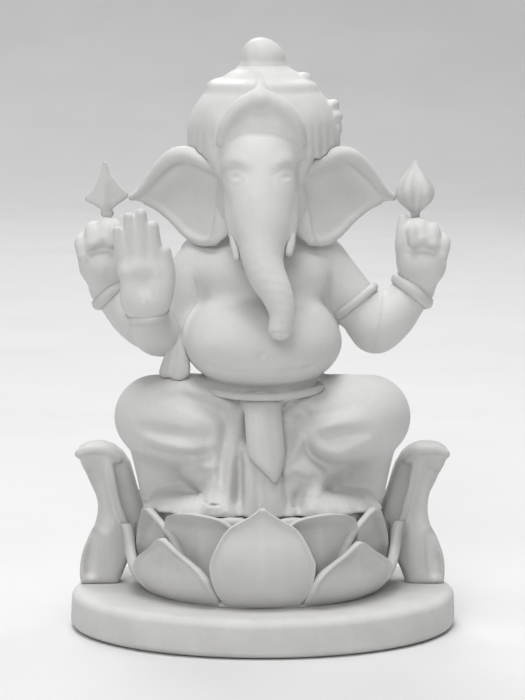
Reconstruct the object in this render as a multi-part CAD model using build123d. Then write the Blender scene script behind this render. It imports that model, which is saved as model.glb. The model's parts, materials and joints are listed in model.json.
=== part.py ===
from build123d import *
import math
import os

# Seated Ganesha idol on a lotus throne, 229 mm tall, as the cast pieces that are pinned together.
#
# Millimetres. +Z is up, the figure faces -Y, and the origin is at the middle of the underside.
# "left" and "right" are as seen from the front, so left is -X. Each function makes one kind of piece,
# and every piece is cut back where it seats on its neighbours, so that faces meet and nothing overlaps.

# Base
PLINTH_RX, PLINTH_RY = 75.6, 62.0   # half width and half depth of the oval plinth
PLINTH_TOP = 15.0
PLINTH_ROUND = 3.5                  # radius on the plinth's edges
FELT_THICK, FELT_PROUD = 1.5, 0.3   # felt sheet, and how far it stands out of its recess
FELT_INSET = 4.0

# Lotus throne
SEAT_TOP = 49.0
LOTUS_RX, LOTUS_RY = 46.0, 41.0     # the core at the seat
LOTUS_WAIST = 0.86                  # the core's narrowest share of that size, at the plinth
PETALS_PER_ROW = 8
PETAL_THICK = 3.0
PETAL_STEP = 360.0 / PETALS_PER_ROW
FRONT_PAIR_TURN = 30.0              # degrees from the front to the inner petals beside the front one
FRONT_PETAL_EXTRA = 2.5             # how much wider the front petal is
OUTER_PETAL_WIDTH, INNER_PETAL_WIDTH = 30.0, 27.0
OUTER_PETAL_TIP, FRONT_PETAL_TIP, INNER_PETAL_TIP = 38.0, 54.0, 48.5   # height above the floor
OUTER_PETAL_LEAN, INNER_PETAL_LEAN = 18.0, 10.0                        # degrees out from vertical
OUTER_PETAL_GAP, INNER_PETAL_GAP = 6.4, 1.8                            # foot of a petal from the core

# Side posts of the throne
POST_FRONT, POST_BACK = 1.0, 15.0   # y of the post's faces
WING_FRONT, WING_BACK = 8.0, 13.0

# Figure
BELT_Z, BELT_HALF, BELT_Y = 101.2, 1.5, -5.6
BELT_RX, BELT_RY = 28.2, 26.0
NECK_TOP = 164.0
CROWN_FOOT, CROWN_CENTRE = 183.0, (0.0, 2.0, 190.5)
CROWN_RADII = (30.4, 28.0, 26.0)
CREST_THICK = 2.4
TOPKNOT_CENTRE, TOPKNOT_RADII = (0.0, 2.0, 219.6), (8.6, 8.6, 9.4)
EAR_THICK = 3.6
ATTRIBUTE_Y = 4.0                   # the plane of the two raised fists and what they hold
STEM_FOOT, STEM_TOP, STEM_R = 150.0, 165.0, 1.9
GOAD_X, GOAD_TIP, GOAD_FOOT, GOAD_THICK = -61.0, 182.2, 163.0, 3.2
BUD_X, BUD_TIP, BUD_FOOT = 59.4, 182.4, 162.0

# Pins
ROD_R, PIN_R, THIN_PIN_R, EAR_PIN_R = 2.5, 2.0, 1.25, 1.0
PIN_GAP = 0.06                      # glue film around every pin

BIG = 300.0                         # larger than the whole idol


def above(level):
    """Everything above a level, to cut a piece off flat where it stands on another."""
    return Pos(0, 0, level + BIG / 2) * Box(BIG, BIG, BIG)


def ellipsoid(centre, radii, tilt=(0, 0, 0)):
    return Pos(*centre) * Rot(*tilt) * scale(Sphere(1), by=radii)


def limb(start, start_r, end, end_r):
    """A tapered capsule: two balls and the cone that touches both, turned as one solid."""
    axis = Vector(*end) - Vector(*start)
    slope = (start_r - end_r) / axis.length
    lift = math.sqrt(1 - slope * slope)
    near = (start_r * slope, start_r * lift)
    far = (axis.length + end_r * slope, end_r * lift)
    half = math.asin(slope) / 2
    near_middle = (-start_r * math.sin(math.pi / 4 - half), start_r * math.cos(math.pi / 4 - half))
    far_middle = (axis.length + end_r * math.cos(math.pi / 4 - half), end_r * math.sin(math.pi / 4 - half))
    outline = [
        ThreePointArc((-start_r, 0), near_middle, near),
        Line(near, far),
        ThreePointArc(far, far_middle, (axis.length + end_r, 0)),
        Line((axis.length + end_r, 0), (-start_r, 0)),
    ]
    turned = revolve(make_face(outline), Axis.X)
    return Plane(origin=start, z_dir=axis) * Rot(0, -90, 0) * turned


def ellipse_loft(sections):
    """A solid through level ellipses, each given as z, y of its middle, x radius, y radius."""
    return loft([Pos(0, y, z) * Ellipse(rx, ry) for z, y, rx, ry in sections])


def rod(start, end, radius):
    axis = Vector(*end) - Vector(*start)
    middle = (Vector(*start) + Vector(*end)) * 0.5
    return Plane(origin=middle, z_dir=axis) * Cylinder(radius, axis.length)


def upright_plate(points, front, back):
    """A plate whose outline is seen from the front: x, z points, and the y of its two faces."""
    face = Plane.XZ * make_face(Polyline(*points, close=True))
    return Pos(0, front, 0) * extrude(face, amount=-(back - front))


def rounded_plate(points, front, back):
    """As upright_plate, with a smooth curve through the points and a straight closing edge."""
    curve = Spline(*points)
    face = Plane.XZ * make_face([curve, Line(points[-1], points[0])])
    return Pos(0, front, 0) * extrude(face, amount=-(back - front))


def largest(shape):
    return max(shape.solids(), key=lambda solid: solid.volume)


def seat(shape, *neighbours):
    """The piece less its neighbours, without the crumbs that such a cut can leave."""
    for other in neighbours:
        shape = shape - other
    return largest(shape)


def between(start, end, share):
    return tuple(a + (b - a) * share for a, b in zip(start, end))


def mirrored(shape):
    return mirror(shape, about=Plane.YZ)


# ---------------------------------------------------------------- base and throne

def make_plinth():
    body = extrude(Ellipse(PLINTH_RX, PLINTH_RY), amount=PLINTH_TOP - FELT_PROUD)
    body = fillet(body.edges(), PLINTH_ROUND)
    return Pos(0, 0, FELT_PROUD) * body


def make_felt():
    return extrude(Ellipse(PLINTH_RX - FELT_INSET, PLINTH_RY - FELT_INSET), amount=FELT_THICK)


def make_lotus_core():
    rise = SEAT_TOP - PLINTH_TOP
    shares = [(0.0, LOTUS_WAIST), (0.3, LOTUS_WAIST + 0.02), (0.65, 0.94), (1.0, 1.0)]
    return ellipse_loft([(PLINTH_TOP + rise * t, 0, LOTUS_RX * s, LOTUS_RY * s) for t, s in shares])


def petal_outline(width, height):
    """A broad leaf that narrows to a point, drawn from its foot at the origin."""
    half = width / 2
    flank = Spline((half * 0.55, 0), (half * 0.93, height * 0.28), (half, height * 0.5),
                   (half * 0.66, height * 0.8), (0, height))
    return make_face([flank, mirror(flank, about=Plane.YZ), Line((-half * 0.55, 0), (half * 0.55, 0))])


def make_petal(angle, width, tip_z, lean, gap):
    """A flat petal at the given angle round the lotus, 0 being the front, leaning outwards."""
    turn = math.radians(angle)
    foot_rx, foot_ry = LOTUS_RX * LOTUS_WAIST + gap, LOTUS_RY * LOTUS_WAIST + gap
    foot = (foot_rx * math.sin(turn), -foot_ry * math.cos(turn), PLINTH_TOP)
    facing = math.degrees(math.atan2(foot_ry * math.sin(turn), foot_rx * math.cos(turn)))
    height = (tip_z - PLINTH_TOP) / math.cos(math.radians(lean))
    plate = Plane.XZ * petal_outline(width, height)
    plate = extrude(plate, amount=PETAL_THICK / 2, both=True)
    plate = Rot(0, 0, facing) * Rot(lean, 0, 0) * plate
    return Pos(*foot) * plate & above(PLINTH_TOP)


def make_post():
    """The left post: a column with an outward-curled top and a thin wing towards the lotus."""
    column = rounded_plate([(-71.4, PLINTH_TOP), (-72.0, 23.5), (-69.8, 31.6), (-65.2, 40.0), (-66.2, 50.0),
                            (-70.2, 60.5), (-73.2, 67.6), (-68.0, 70.3), (-61.5, 70.6), (-57.0, 66.5),
                            (-57.5, 56.0), (-58.5, 44.0), (-59.3, 30.0), (-59.5, PLINTH_TOP)],
                           POST_FRONT, POST_BACK)
    wing = upright_plate([(-62.0, 68.5), (-56.5, 68.2), (-52.5, 62.5), (-47.5, 45.0), (-52.0, 33.0),
                          (-62.0, 30.0)], WING_FRONT, WING_BACK)
    return column + wing


# ---------------------------------------------------------------- body

def make_torso():
    """Hips, round belly, chest, shoulders and the neck that the head sits on, standing on the seat."""
    hips = ellipsoid((0, 2, 74), (25, 21, 32)) & above(SEAT_TOP)
    waist = [(87, -2, 21.5, 20), (96, -4.5, 23.5, 22.5)]
    belly = [(105, -7.5, 29, 26.5), (114, -9, 31, 28.5), (123, -7.5, 30, 26)]
    chest = [(132, -2.5, 26.5, 20), (141, 1.5, 25, 16.5), (150, 3, 19, 13.5)]
    neck = [(159, 1.5, 11.5, 11), (NECK_TOP, 1, 11, 11)]
    return hips + ellipse_loft(waist + belly + chest + neck)


def make_head():
    """The skull and the trunk, which hangs down the front and swings to the right at its end."""
    skull = ellipsoid((0, -6, 179), (17, 24, 20))
    stations = [((-1.4, -18, 186), 13.4), ((-0.9, -27, 172), 12.4), ((-0.4, -33.0, 158), 9.6),
                ((-0.3, -36.5, 148.5), 7.8), ((1.8, -39.0, 141), 7.2), ((5.6, -41.2, 133.5), 5.7),
                ((7.1, -41.8, 126), 4.6), ((6.3, -41.4, 119.6), 4.0)]
    trunk = limb(*stations[0], *stations[1])
    for upper, lower in zip(stations[1:], stations[2:]):
        trunk = trunk + limb(*upper, *lower)
    return skull + trunk


def make_tusk():
    return rod((-10.2, -28, 158), (-9.6, -33.5, 147.5), 1.9)


def make_ear():
    """The left ear: a fan from the temple to a pointed tip, swept back from the face."""
    fan = rounded_plate([(-12.5, 176.0), (-21.5, 184.0), (-28.5, 187.3), (-35.5, 186.0), (-42.5, 178.5),
                         (-48.0, 171.5), (-52.6, 167.2), (-46.5, 164.6), (-41.5, 162.5), (-35.5, 157.5),
                         (-28.5, 151.5), (-20.0, 149.6), (-12.5, 154.5)], -EAR_THICK / 2, EAR_THICK / 2)
    hinge = Pos(-12.5, -9, 0)
    return hinge * Rot(0, 0, -26) * scale(Pos(12.5, 0, 0) * fan, by=(1.11, 1, 1))


def make_crown():
    return ellipsoid(CROWN_CENTRE, CROWN_RADII) & above(CROWN_FOOT)


def make_crest():
    """The cusped arch over the brow, curved to the front of the crown."""
    outline = upright_plate([(-15.5, 189.5), (-12.5, 199.0), (-7.5, 204.4), (-1.7, 207.0), (0, 213.5),
                             (1.7, 207.0), (7.5, 204.4), (12.5, 199.0), (15.5, 189.5), (9.5, 194.5),
                             (0, 197.0), (-9.5, 194.5)], -45, 0)
    x, y, z = CROWN_CENTRE
    return largest(outline & ellipsoid((x, y - CREST_THICK, z), CROWN_RADII))


def make_leg():
    """The left leg, folded: a thick thigh out to the knee, and the shin tucked under it."""
    thigh = ellipsoid((-33, -8, 81), (24, 21, 18), (0, 0, -18))
    shin = ellipsoid((-32, -10, 61), (19.5, 19, 14.5))
    outer_side = Pos(-6 - BIG / 2, 0, 0) * Box(BIG, BIG, BIG)
    return (thigh + shin) & above(SEAT_TOP) & outer_side


def make_foot():
    heel, toes = (-33, -25, 53.5), (-14, -33, 52.0)
    return limb(heel, 4.6, toes, 3.4) & above(SEAT_TOP)


def make_sash_upper():
    return upright_plate([(-5.2, 95), (2.8, 95), (7.2, 79), (7.2, 66), (4.1, 62.9), (-5.2, 71.5)], -34, -25)


def make_sash_lower():
    return upright_plate([(-6.6, SEAT_TOP), (9, SEAT_TOP), (7.4, 69), (-5.8, 73)], -35, -15)


def make_sash_tail():
    outline = [(-32.5, 121), (-28.5, 122), (-27.5, 104), (-33.5, 99.5), (-39.5, 101.5), (-36.5, 108)]
    return upright_plate(outline, -19, -8)


def make_belt():
    """A level girdle in the crease under the belly, before the torso is cut out of it."""
    return Pos(0, BELT_Y, BELT_Z) * extrude(Ellipse(BELT_RX, BELT_RY), amount=BELT_HALF, both=True)


# ---------------------------------------------------------------- arms and what they hold

ARM_JOINTS = {
    "left_rear": {"shoulder": (-23, 6, 141), "elbow": (-45, 3, 115.5), "wrist": (-61, 4, 130)},
    "left_front": {"shoulder": (-27, -3, 141), "elbow": (-35.5, -14, 118), "wrist": (-42.5, -23, 127)},
    "right": {"shoulder": (24, 3, 141), "elbow": (44, 1, 116.5), "wrist": (58.5, 3.5, 130)},
}
SHOULDER_R, ELBOW_R, WRIST_R = 10.0, 8.8, 6.6
ARMLET_AT, ARMLET_ARM_R = 0.62, 9.3   # share of the way from shoulder to elbow, and the arm's radius there
BAND_R = 1.5


def make_upper_arm(name):
    joints = ARM_JOINTS[name]
    return limb(joints["shoulder"], SHOULDER_R, joints["elbow"], ELBOW_R)


def make_forearm(name):
    joints = ARM_JOINTS[name]
    return limb(joints["elbow"], ELBOW_R, joints["wrist"], WRIST_R)


def make_fist(side):
    """A closed hand round an upright stem, side -1 for left and 1 for right."""
    x = side * 62.6
    hand = ellipsoid((x, ATTRIBUTE_Y, 146.5), (10.2, 8.6, 13.5), (0, side * 8, 0))
    thumb = limb((x - side * 6.5, ATTRIBUTE_Y - 4, 146), 3.2, (x - side * 7.2, ATTRIBUTE_Y - 2, 159), 2.4)
    return hand + thumb


def make_open_hand():
    """The raised palm: a flat hand with four fingers side by side and the thumb."""
    hand = ellipsoid((-43.8, -25.5, 136), (8.8, 4.8, 13.5))
    fingers = [((-50.2, -25.5, 142), (-52.8, -26, 156), 2.3), ((-46.6, -26, 144), (-47.6, -27, 162), 2.6),
               ((-42.6, -26, 144), (-43.2, -27, 160.5), 2.6), ((-38.8, -25.5, 142), (-39.6, -26, 154.5), 2.4)]
    for knuckle, tip, radius in fingers:
        hand = hand + limb(knuckle, radius + 0.5, tip, radius)
    return hand + limb((-37.5, -24, 132), 3.4, (-34.8, -23, 144), 2.5)


def make_goad():
    """The left attribute: a leaf-shaped blade with hollow shoulders on a stem through the fist."""
    x, tip, foot = GOAD_X, GOAD_TIP, GOAD_FOOT
    left_barb, right_barb = (x - 7.4, 167.3), (x + 8.4, 169)
    left_neck, right_neck = (x - 1.6, foot), (x + 1.6, foot)
    outline = [Spline((x, tip), (x - 2.6, 176), left_barb), Line(left_barb, left_neck),
               Line(left_neck, right_neck), Line(right_neck, right_barb),
               Spline((x, tip), (x + 3.2, 175.5), right_barb)]
    blade = extrude(Plane.XZ * make_face(outline), amount=-GOAD_THICK)
    stem = rod((x, ATTRIBUTE_Y, STEM_FOOT), (x, ATTRIBUTE_Y, STEM_TOP), STEM_R)
    return Pos(0, ATTRIBUTE_Y - GOAD_THICK / 2, 0) * blade + stem


def make_bud():
    """The right attribute: a plump lotus bud on a stem through the fist."""
    axis_foot, axis_top, neck = (0, BUD_FOOT), (0, BUD_TIP), (2.2, BUD_FOOT)
    outline = [Line(axis_foot, neck), Spline(neck, (7.9, 169.5), (6.2, 175), axis_top),
               Line(axis_top, axis_foot)]
    bud = revolve(Plane.XZ * make_face(outline), Axis.Z)
    stem = rod((BUD_X, ATTRIBUTE_Y, STEM_FOOT), (BUD_X, ATTRIBUTE_Y, STEM_TOP), STEM_R)
    return Pos(BUD_X, ATTRIBUTE_Y, 0) * bud + stem


def make_band(place, towards, arm_r, rod_r):
    """A ring round an arm: a bracelet or an armlet."""
    axis = Vector(*towards) - Vector(*place)
    return Plane(origin=place, z_dir=axis) * Torus(arm_r + rod_r * 0.6, rod_r)


# ---------------------------------------------------------------- pins

def pins():
    """Every hidden pin by node name: start, end and radius of each solid."""
    left_rear, left_front, right = (ARM_JOINTS[name] for name in ("left_rear", "left_front", "right"))

    def into_torso(joints):
        inner_end = (joints["shoulder"][0] * 0.45, joints["shoulder"][1], 139)
        return inner_end, between(joints["shoulder"], joints["elbow"], 0.3), THIN_PIN_R

    return {
        "centre_rod": [((0, 2, 6), (0, 2, 221), ROD_R)],
        "post_pins": [((side * 65.5, 8, 8), (side * 65.5, 8, 24), PIN_R) for side in (-1, 1)],
        "ear_pins": [((side * 9, -7.5, 170), (side * 16.5, -7.8, 170), EAR_PIN_R) for side in (-1, 1)],
        "shoulder_pins": [into_torso(left_rear), into_torso(left_front), into_torso(right)],
    }


def drilled(shape, holes):
    for start, end, radius in holes:
        shape = shape - rod(start, end, radius + PIN_GAP)
    return shape


def make_throne():
    """The felt, plinth, lotus core, petals and posts, each cut back to those it leans on."""
    felt = make_felt()
    plinth = make_plinth() - felt
    core = make_lotus_core()
    outer = {}
    inner = {}
    for i in range(PETALS_PER_ROW):
        front = i == 0
        outer[f"outer_petal_{i + 1}"] = make_petal(
            i * PETAL_STEP,
            OUTER_PETAL_WIDTH + (FRONT_PETAL_EXTRA if front else 0),
            FRONT_PETAL_TIP if front else OUTER_PETAL_TIP,
            OUTER_PETAL_LEAN / 2 if front else OUTER_PETAL_LEAN,
            OUTER_PETAL_GAP)
        turn = (i + 0.5) * PETAL_STEP
        if i == 0:
            turn = FRONT_PAIR_TURN
        if i == PETALS_PER_ROW - 1:
            turn = 360 - FRONT_PAIR_TURN
        inner[f"inner_petal_{i + 1}"] = make_petal(
            turn, INNER_PETAL_WIDTH, INNER_PETAL_TIP, INNER_PETAL_LEAN, INNER_PETAL_GAP)
    placed = []
    for name, petal in inner.items():
        inner[name] = seat(petal, core, *placed)
        placed.append(inner[name])
    outer = {name: seat(petal, core, *inner.values()) for name, petal in outer.items()}
    petals = [*outer.values(), *inner.values()]
    posts = {"left_post": seat(make_post(), core, *petals),
             "right_post": seat(mirrored(make_post()), core, *petals)}
    return {"base_felt": felt, "plinth": plinth, "lotus_core": core, **outer, **inner, **posts}


def make_body():
    """Torso, legs, feet, head with its ears, tusks and crown, and the two emblems."""
    torso = make_torso()
    head = seat(make_head(), torso)
    left_leg = seat(make_leg(), torso)
    right_leg = seat(mirrored(make_leg()), torso)
    crown = seat(make_crown(), head)
    goad, bud = make_goad(), make_bud()
    return {
        "torso": torso, "head": head, "left_leg": left_leg, "right_leg": right_leg,
        "left_foot": seat(make_foot(), torso, left_leg),
        "right_foot": seat(mirrored(make_foot()), torso, right_leg),
        "belt": seat(make_belt(), torso, left_leg, right_leg),
        "left_tusk": seat(make_tusk(), head, torso),
        "right_tusk": seat(mirrored(make_tusk()), head, torso),
        "crown": crown, "crown_crest": seat(make_crest(), head, crown),
        "topknot": seat(ellipsoid(TOPKNOT_CENTRE, TOPKNOT_RADII), crown),
        "left_ear": seat(make_ear(), head, crown, torso, goad),
        "right_ear": seat(mirrored(make_ear()), head, crown, torso, bud),
        "goad": goad, "lotus_bud": bud,
    }


def make_arms(body):
    """Three arms with their hands and bracelets, and the armlet, fitted to the body."""
    around = [body[name] for name in ("torso", "left_leg", "right_leg", "left_ear", "right_ear")]
    arms = {}
    for name in ARM_JOINTS:
        upper = seat(make_upper_arm(name), *around, *arms.values())
        lower = seat(make_forearm(name), upper, *around, *arms.values())
        arms[name + "_upper_arm"] = upper
        arms[name + "_forearm"] = lower
    limbs = list(arms.values())
    left_fist = seat(make_fist(-1), *limbs, body["goad"])
    right_fist = seat(make_fist(1), *limbs, body["lotus_bud"])
    open_hand = seat(make_open_hand(), *limbs, left_fist, right_fist, body["torso"], body["left_ear"])
    arms.update({"left_fist": left_fist, "right_fist": right_fist, "open_hand": open_hand})
    for name, joints in ARM_JOINTS.items():
        ring = make_band(joints["wrist"], joints["elbow"], WRIST_R, BAND_R)
        arms[name + "_bracelet"] = seat(ring, *limbs, left_fist, right_fist, open_hand)
    joints = ARM_JOINTS["right"]
    place = between(joints["shoulder"], joints["elbow"], ARMLET_AT)
    armlet = make_band(place, joints["elbow"], ARMLET_ARM_R, BAND_R)
    arms["right_armlet"] = seat(armlet, *limbs, body["torso"])
    return arms


def make_sashes(body, arms):
    """The two falls of cloth in the lap and the loose end beside the belly."""
    figure = [body["torso"], body["belt"], body["left_leg"], body["right_leg"]]
    upper = seat(make_sash_upper(), *figure)
    lower = seat(make_sash_lower(), *figure, upper, body["left_foot"], body["right_foot"])
    tail = seat(make_sash_tail(), *figure, *arms.values())
    return {"sash_upper": upper, "sash_lower": lower, "sash_tail": tail}


def build():
    body = make_body()
    arms = make_arms(body)
    parts = {**make_throne(), **body, **arms, **make_sashes(body, arms)}
    held = {"centre_rod": ["plinth", "lotus_core", "torso", "head", "crown", "topknot"],
            "post_pins": ["plinth", "left_post", "right_post"],
            "ear_pins": ["head", "left_ear", "right_ear"],
            "shoulder_pins": ["torso", *(name + "_upper_arm" for name in ARM_JOINTS)]}
    for name, holes in pins().items():
        for holder in held[name]:
            parts[holder] = drilled(parts[holder], holes)
        parts[name] = Compound(children=[rod(*hole) for hole in holes])
    return parts


os.makedirs("parts", exist_ok=True)
for node, shape in build().items():
    export_step(shape, f"parts/{node}.step")
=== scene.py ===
import json
import math
import bpy
import numpy as np
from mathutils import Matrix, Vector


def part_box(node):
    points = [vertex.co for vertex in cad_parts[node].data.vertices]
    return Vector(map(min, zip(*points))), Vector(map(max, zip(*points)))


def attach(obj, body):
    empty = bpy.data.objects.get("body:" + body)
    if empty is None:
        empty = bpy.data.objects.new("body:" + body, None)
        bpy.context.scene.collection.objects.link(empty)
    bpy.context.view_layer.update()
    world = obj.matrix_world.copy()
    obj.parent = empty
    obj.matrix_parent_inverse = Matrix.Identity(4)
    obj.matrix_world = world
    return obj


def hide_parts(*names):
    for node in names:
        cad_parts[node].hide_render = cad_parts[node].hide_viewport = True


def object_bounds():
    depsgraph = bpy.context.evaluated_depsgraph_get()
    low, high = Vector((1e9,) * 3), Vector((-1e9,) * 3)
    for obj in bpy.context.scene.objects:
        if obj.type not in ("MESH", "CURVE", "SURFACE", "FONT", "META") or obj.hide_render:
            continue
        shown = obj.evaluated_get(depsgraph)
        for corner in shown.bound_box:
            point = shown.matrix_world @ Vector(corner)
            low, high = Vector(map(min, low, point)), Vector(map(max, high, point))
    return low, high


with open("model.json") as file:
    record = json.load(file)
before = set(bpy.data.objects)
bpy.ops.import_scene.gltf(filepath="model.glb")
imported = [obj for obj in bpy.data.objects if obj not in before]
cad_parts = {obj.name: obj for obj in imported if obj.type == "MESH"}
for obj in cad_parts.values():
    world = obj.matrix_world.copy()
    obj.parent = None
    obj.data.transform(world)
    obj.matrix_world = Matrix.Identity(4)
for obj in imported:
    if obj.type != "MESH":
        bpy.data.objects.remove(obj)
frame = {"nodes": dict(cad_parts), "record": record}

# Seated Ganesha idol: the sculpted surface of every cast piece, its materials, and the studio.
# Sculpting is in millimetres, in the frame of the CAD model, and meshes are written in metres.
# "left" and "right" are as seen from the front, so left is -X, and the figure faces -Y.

import openvdb
from mathutils import Vector

MM = 0.001
CAD_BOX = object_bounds()


def low(node):
    return [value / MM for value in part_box(node)[0]]


def high(node):
    return [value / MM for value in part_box(node)[1]]


def mid(node):
    return [(a + b) / 2 for a, b in zip(low(node), high(node))]


# ---------------------------------------------------------------- clay: signed distances on a grid

FAR = 30.0


class Clay:
    """A block of signed distances, negative inside, on a grid that all blocks share."""

    def __init__(self, low_corner, high_corner, step):
        self.step = step
        self.first = [math.floor(value / step) for value in low_corner]
        self.count = [math.ceil(b / step) - a + 1 for a, b in zip(self.first, high_corner)]
        self.d = np.full(self.count, FAR, np.float32)

    def axes(self, box=None):
        """The x, y and z of the grid points in a box of indices, shaped so that they combine."""
        box = box or [(0, n) for n in self.count]
        x, y, z = [(self.first[i] + np.arange(*box[i], dtype=np.float32)) * self.step for i in range(3)]
        return x[:, None, None], y[None, :, None], z[None, None, :]

    def window(self, shape, reach):
        box = []
        for i in range(3):
            start = math.floor((shape.low[i] - reach) / self.step) - self.first[i]
            stop = math.ceil((shape.high[i] + reach) / self.step) - self.first[i] + 1
            box.append((max(start, 0), min(stop, self.count[i])))
        return box if all(a < b for a, b in box) else None

    def work(self, shape, blend, how):
        box = self.window(shape, blend + 3 * self.step + 1.0)
        if box is None:
            return self
        part = tuple(slice(*pair) for pair in box)
        self.d[part] = how(self.d[part], shape.distance(*self.axes(box)), blend)
        return self

    def add(self, shape, blend=0.0):
        return self.work(shape, blend, soft_union)

    def cut(self, shape, blend=0.0):
        return self.work(shape, blend, soft_cut)

    def swell(self, depth):
        """Move the surface outwards by depth, a function of x, y and z."""
        self.d -= depth(*self.axes()).astype(np.float32)
        return self

    def stroke(self, points, behind=0.0):
        """A soft ridge, or a furrow where its height is negative, drawn on the front like a brush mark.

        Each point is x, z, half width and height. It fades out towards y = behind.
        """
        path = through(points, 5) if len(points) > 2 else np.array(points, float)
        x, y, z = self.axes()
        nearest, lift = None, 0.0
        for a, b in zip(path, path[1:]):
            ex, ez = b[:2] - a[:2]
            t = np.clip(((x - a[0]) * ex + (z - a[1]) * ez) / max(ex * ex + ez * ez, 1e-9), 0, 1)
            far = np.hypot(x - a[0] - t * ex, z - a[1] - t * ez) / (a[2] + t * (b[2] - a[2]))
            high_here = a[3] + t * (b[3] - a[3])
            closer = far < nearest if nearest is not None else np.ones(far.shape, bool)
            nearest = np.where(closer, far, nearest) if nearest is not None else far
            lift = np.where(closer, high_here, lift)
        self.d -= (lift * np.exp(-nearest ** 2) * np.clip((behind - y) / 6, 0, 1)).astype(np.float32)
        return self

    def seen_on(self, other, values):
        """This block's values on the other block's grid points."""
        there = np.full(other.count, FAR, np.float32)
        shift = [a - b for a, b in zip(self.first, other.first)]
        mine, its = [], []
        for offset, n, m in zip(shift, self.count, other.count):
            start, stop = max(offset, 0), min(offset + n, m)
            if start >= stop:
                return there
            its.append(slice(start, stop))
            mine.append(slice(start - offset, stop - offset))
        there[tuple(its)] = values[tuple(mine)]
        return there


def soft_union(a, b, blend):
    if blend <= 0:
        return np.minimum(a, b)
    h = np.maximum(blend - np.abs(a - b), 0) / blend
    return np.minimum(a, b) - h * h * blend * 0.25


def soft_cut(a, b, blend):
    return -soft_union(-a, b, blend)


class Shape:
    """A distance function with the box that holds its surface."""

    def __init__(self, distance, low_corner, high_corner):
        self.distance = distance
        self.low, self.high = low_corner, high_corner


def turn_matrix(turn):
    cx, cy, cz = [math.cos(math.radians(value)) for value in turn]
    sx, sy, sz = [math.sin(math.radians(value)) for value in turn]
    about_x = np.array([[1, 0, 0], [0, cx, -sx], [0, sx, cx]])
    about_y = np.array([[cy, 0, sy], [0, 1, 0], [-sy, 0, cy]])
    about_z = np.array([[cz, -sz, 0], [sz, cz, 0], [0, 0, 1]])
    return about_z @ about_y @ about_x


def egg(centre, radii, turn=(0, 0, 0)):
    """An ellipsoid, turned about its middle by degrees about x, then y, then z."""
    frame_of = turn_matrix(turn)
    radii = np.array(radii, float)
    reach = np.sqrt((frame_of ** 2) @ (radii ** 2))

    def distance(x, y, z):
        p = [x - centre[0], y - centre[1], z - centre[2]]
        q = [sum(frame_of[j][i] * p[j] for j in range(3)) for i in range(3)]
        near = np.sqrt(sum((q[i] / radii[i]) ** 2 for i in range(3)))
        slope = np.sqrt(sum((q[i] / radii[i] ** 2) ** 2 for i in range(3)))
        return near * (near - 1) / np.maximum(slope, 1e-6)

    return Shape(distance, [c - r for c, r in zip(centre, reach)], [c + r for c, r in zip(centre, reach)])


def through(points, per_span=6, closed=False):
    """Points along the smooth curve through the given ones (Catmull-Rom), with any number of columns."""
    p = np.array(points, float)
    if closed:
        p = np.vstack([p[-1:], p, p[:2]])
    else:
        p = np.vstack([2 * p[0] - p[1], p, 2 * p[-1] - p[-2]])
    rows = []
    for a, b, c, d in zip(p, p[1:], p[2:], p[3:]):
        for t in np.arange(per_span) / per_span:
            rows.append(0.5 * (2 * b + (c - a) * t + (2 * a - 5 * b + 4 * c - d) * t * t
                               + (3 * b - a - 3 * c + d) * t ** 3))
    if not closed:
        rows.append(p[-2])
    return np.array(rows)


def rope(points, per_span=4, flat=1.0):
    """A round tube along a smooth curve: each point is x, y, z and radius. flat < 1 thins it in y."""
    path = through(points, per_span) if len(points) > 2 else np.array(points, float)

    def distance(x, y, z):
        best = None
        for a, b in zip(path, path[1:]):
            ab = b[:3] - a[:3]
            along = ((x - a[0]) * ab[0] + (y - a[1]) * ab[1] + (z - a[2]) * ab[2]) / max(ab @ ab, 1e-9)
            along = np.clip(along, 0, 1)
            gap = np.sqrt((x - a[0] - along * ab[0]) ** 2 + ((y - a[1] - along * ab[1]) / flat) ** 2
                          + (z - a[2] - along * ab[2]) ** 2)
            here = gap - (a[3] + along * (b[3] - a[3]))
            best = here if best is None else np.minimum(best, here)
        return best

    r = path[:, 3].max()
    return Shape(distance, list(path[:, :3].min(0) - r), list(path[:, :3].max(0) + r))


def outline_distance(outline, u, v):
    """Signed distance in the plane to a closed outline, negative inside."""
    best = np.full(np.broadcast(u, v).shape, 1e9)
    inside = np.zeros(best.shape, bool)
    for (ax, ay), (bx, by) in zip(outline, np.roll(outline, -1, axis=0)):
        ex, ey = bx - ax, by - ay
        t = np.clip(((u - ax) * ex + (v - ay) * ey) / max(ex * ex + ey * ey, 1e-9), 0, 1)
        best = np.minimum(best, (u - ax - t * ex) ** 2 + (v - ay - t * ey) ** 2)
        if ay != by:
            crosses = ((ay > v) != (by > v)) & (u < (bx - ax) * (v - ay) / (by - ay) + ax)
            inside ^= crosses
    return np.where(inside, -1, 1) * np.sqrt(best)


def slab(outline, middle, thick, soft):
    """A plate seen from the front: x, z outline, y of its middle, thickness, and edge rounding.

    middle and thick may be functions of x and z.
    """
    outline = np.array(outline, float)

    def value(thing, x, z):
        return thing(x, z) if callable(thing) else thing

    def distance(x, y, z):
        flat = outline_distance(outline, x, z) + soft
        deep = np.abs(y - value(middle, x, z)) - value(thick, x, z) / 2 + soft
        return (np.sqrt(np.maximum(flat, 0) ** 2 + np.maximum(deep, 0) ** 2) + np.minimum(np.maximum(flat,
                                                                                                     deep), 0)
                - soft)

    (x0, z0), (x1, z1) = outline.min(0), outline.max(0)
    xs, zs = np.meshgrid(np.linspace(x0, x1, 9), np.linspace(z0, z1, 9))
    mids = value(middle, xs, zs) + 0 * xs
    half = np.max(value(thick, xs, zs) + 0 * xs) / 2
    return Shape(distance, [x0, mids.min() - half, z0], [x1, mids.max() + half, z1])


# ---------------------------------------------------------------- meshes and pieces

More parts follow.
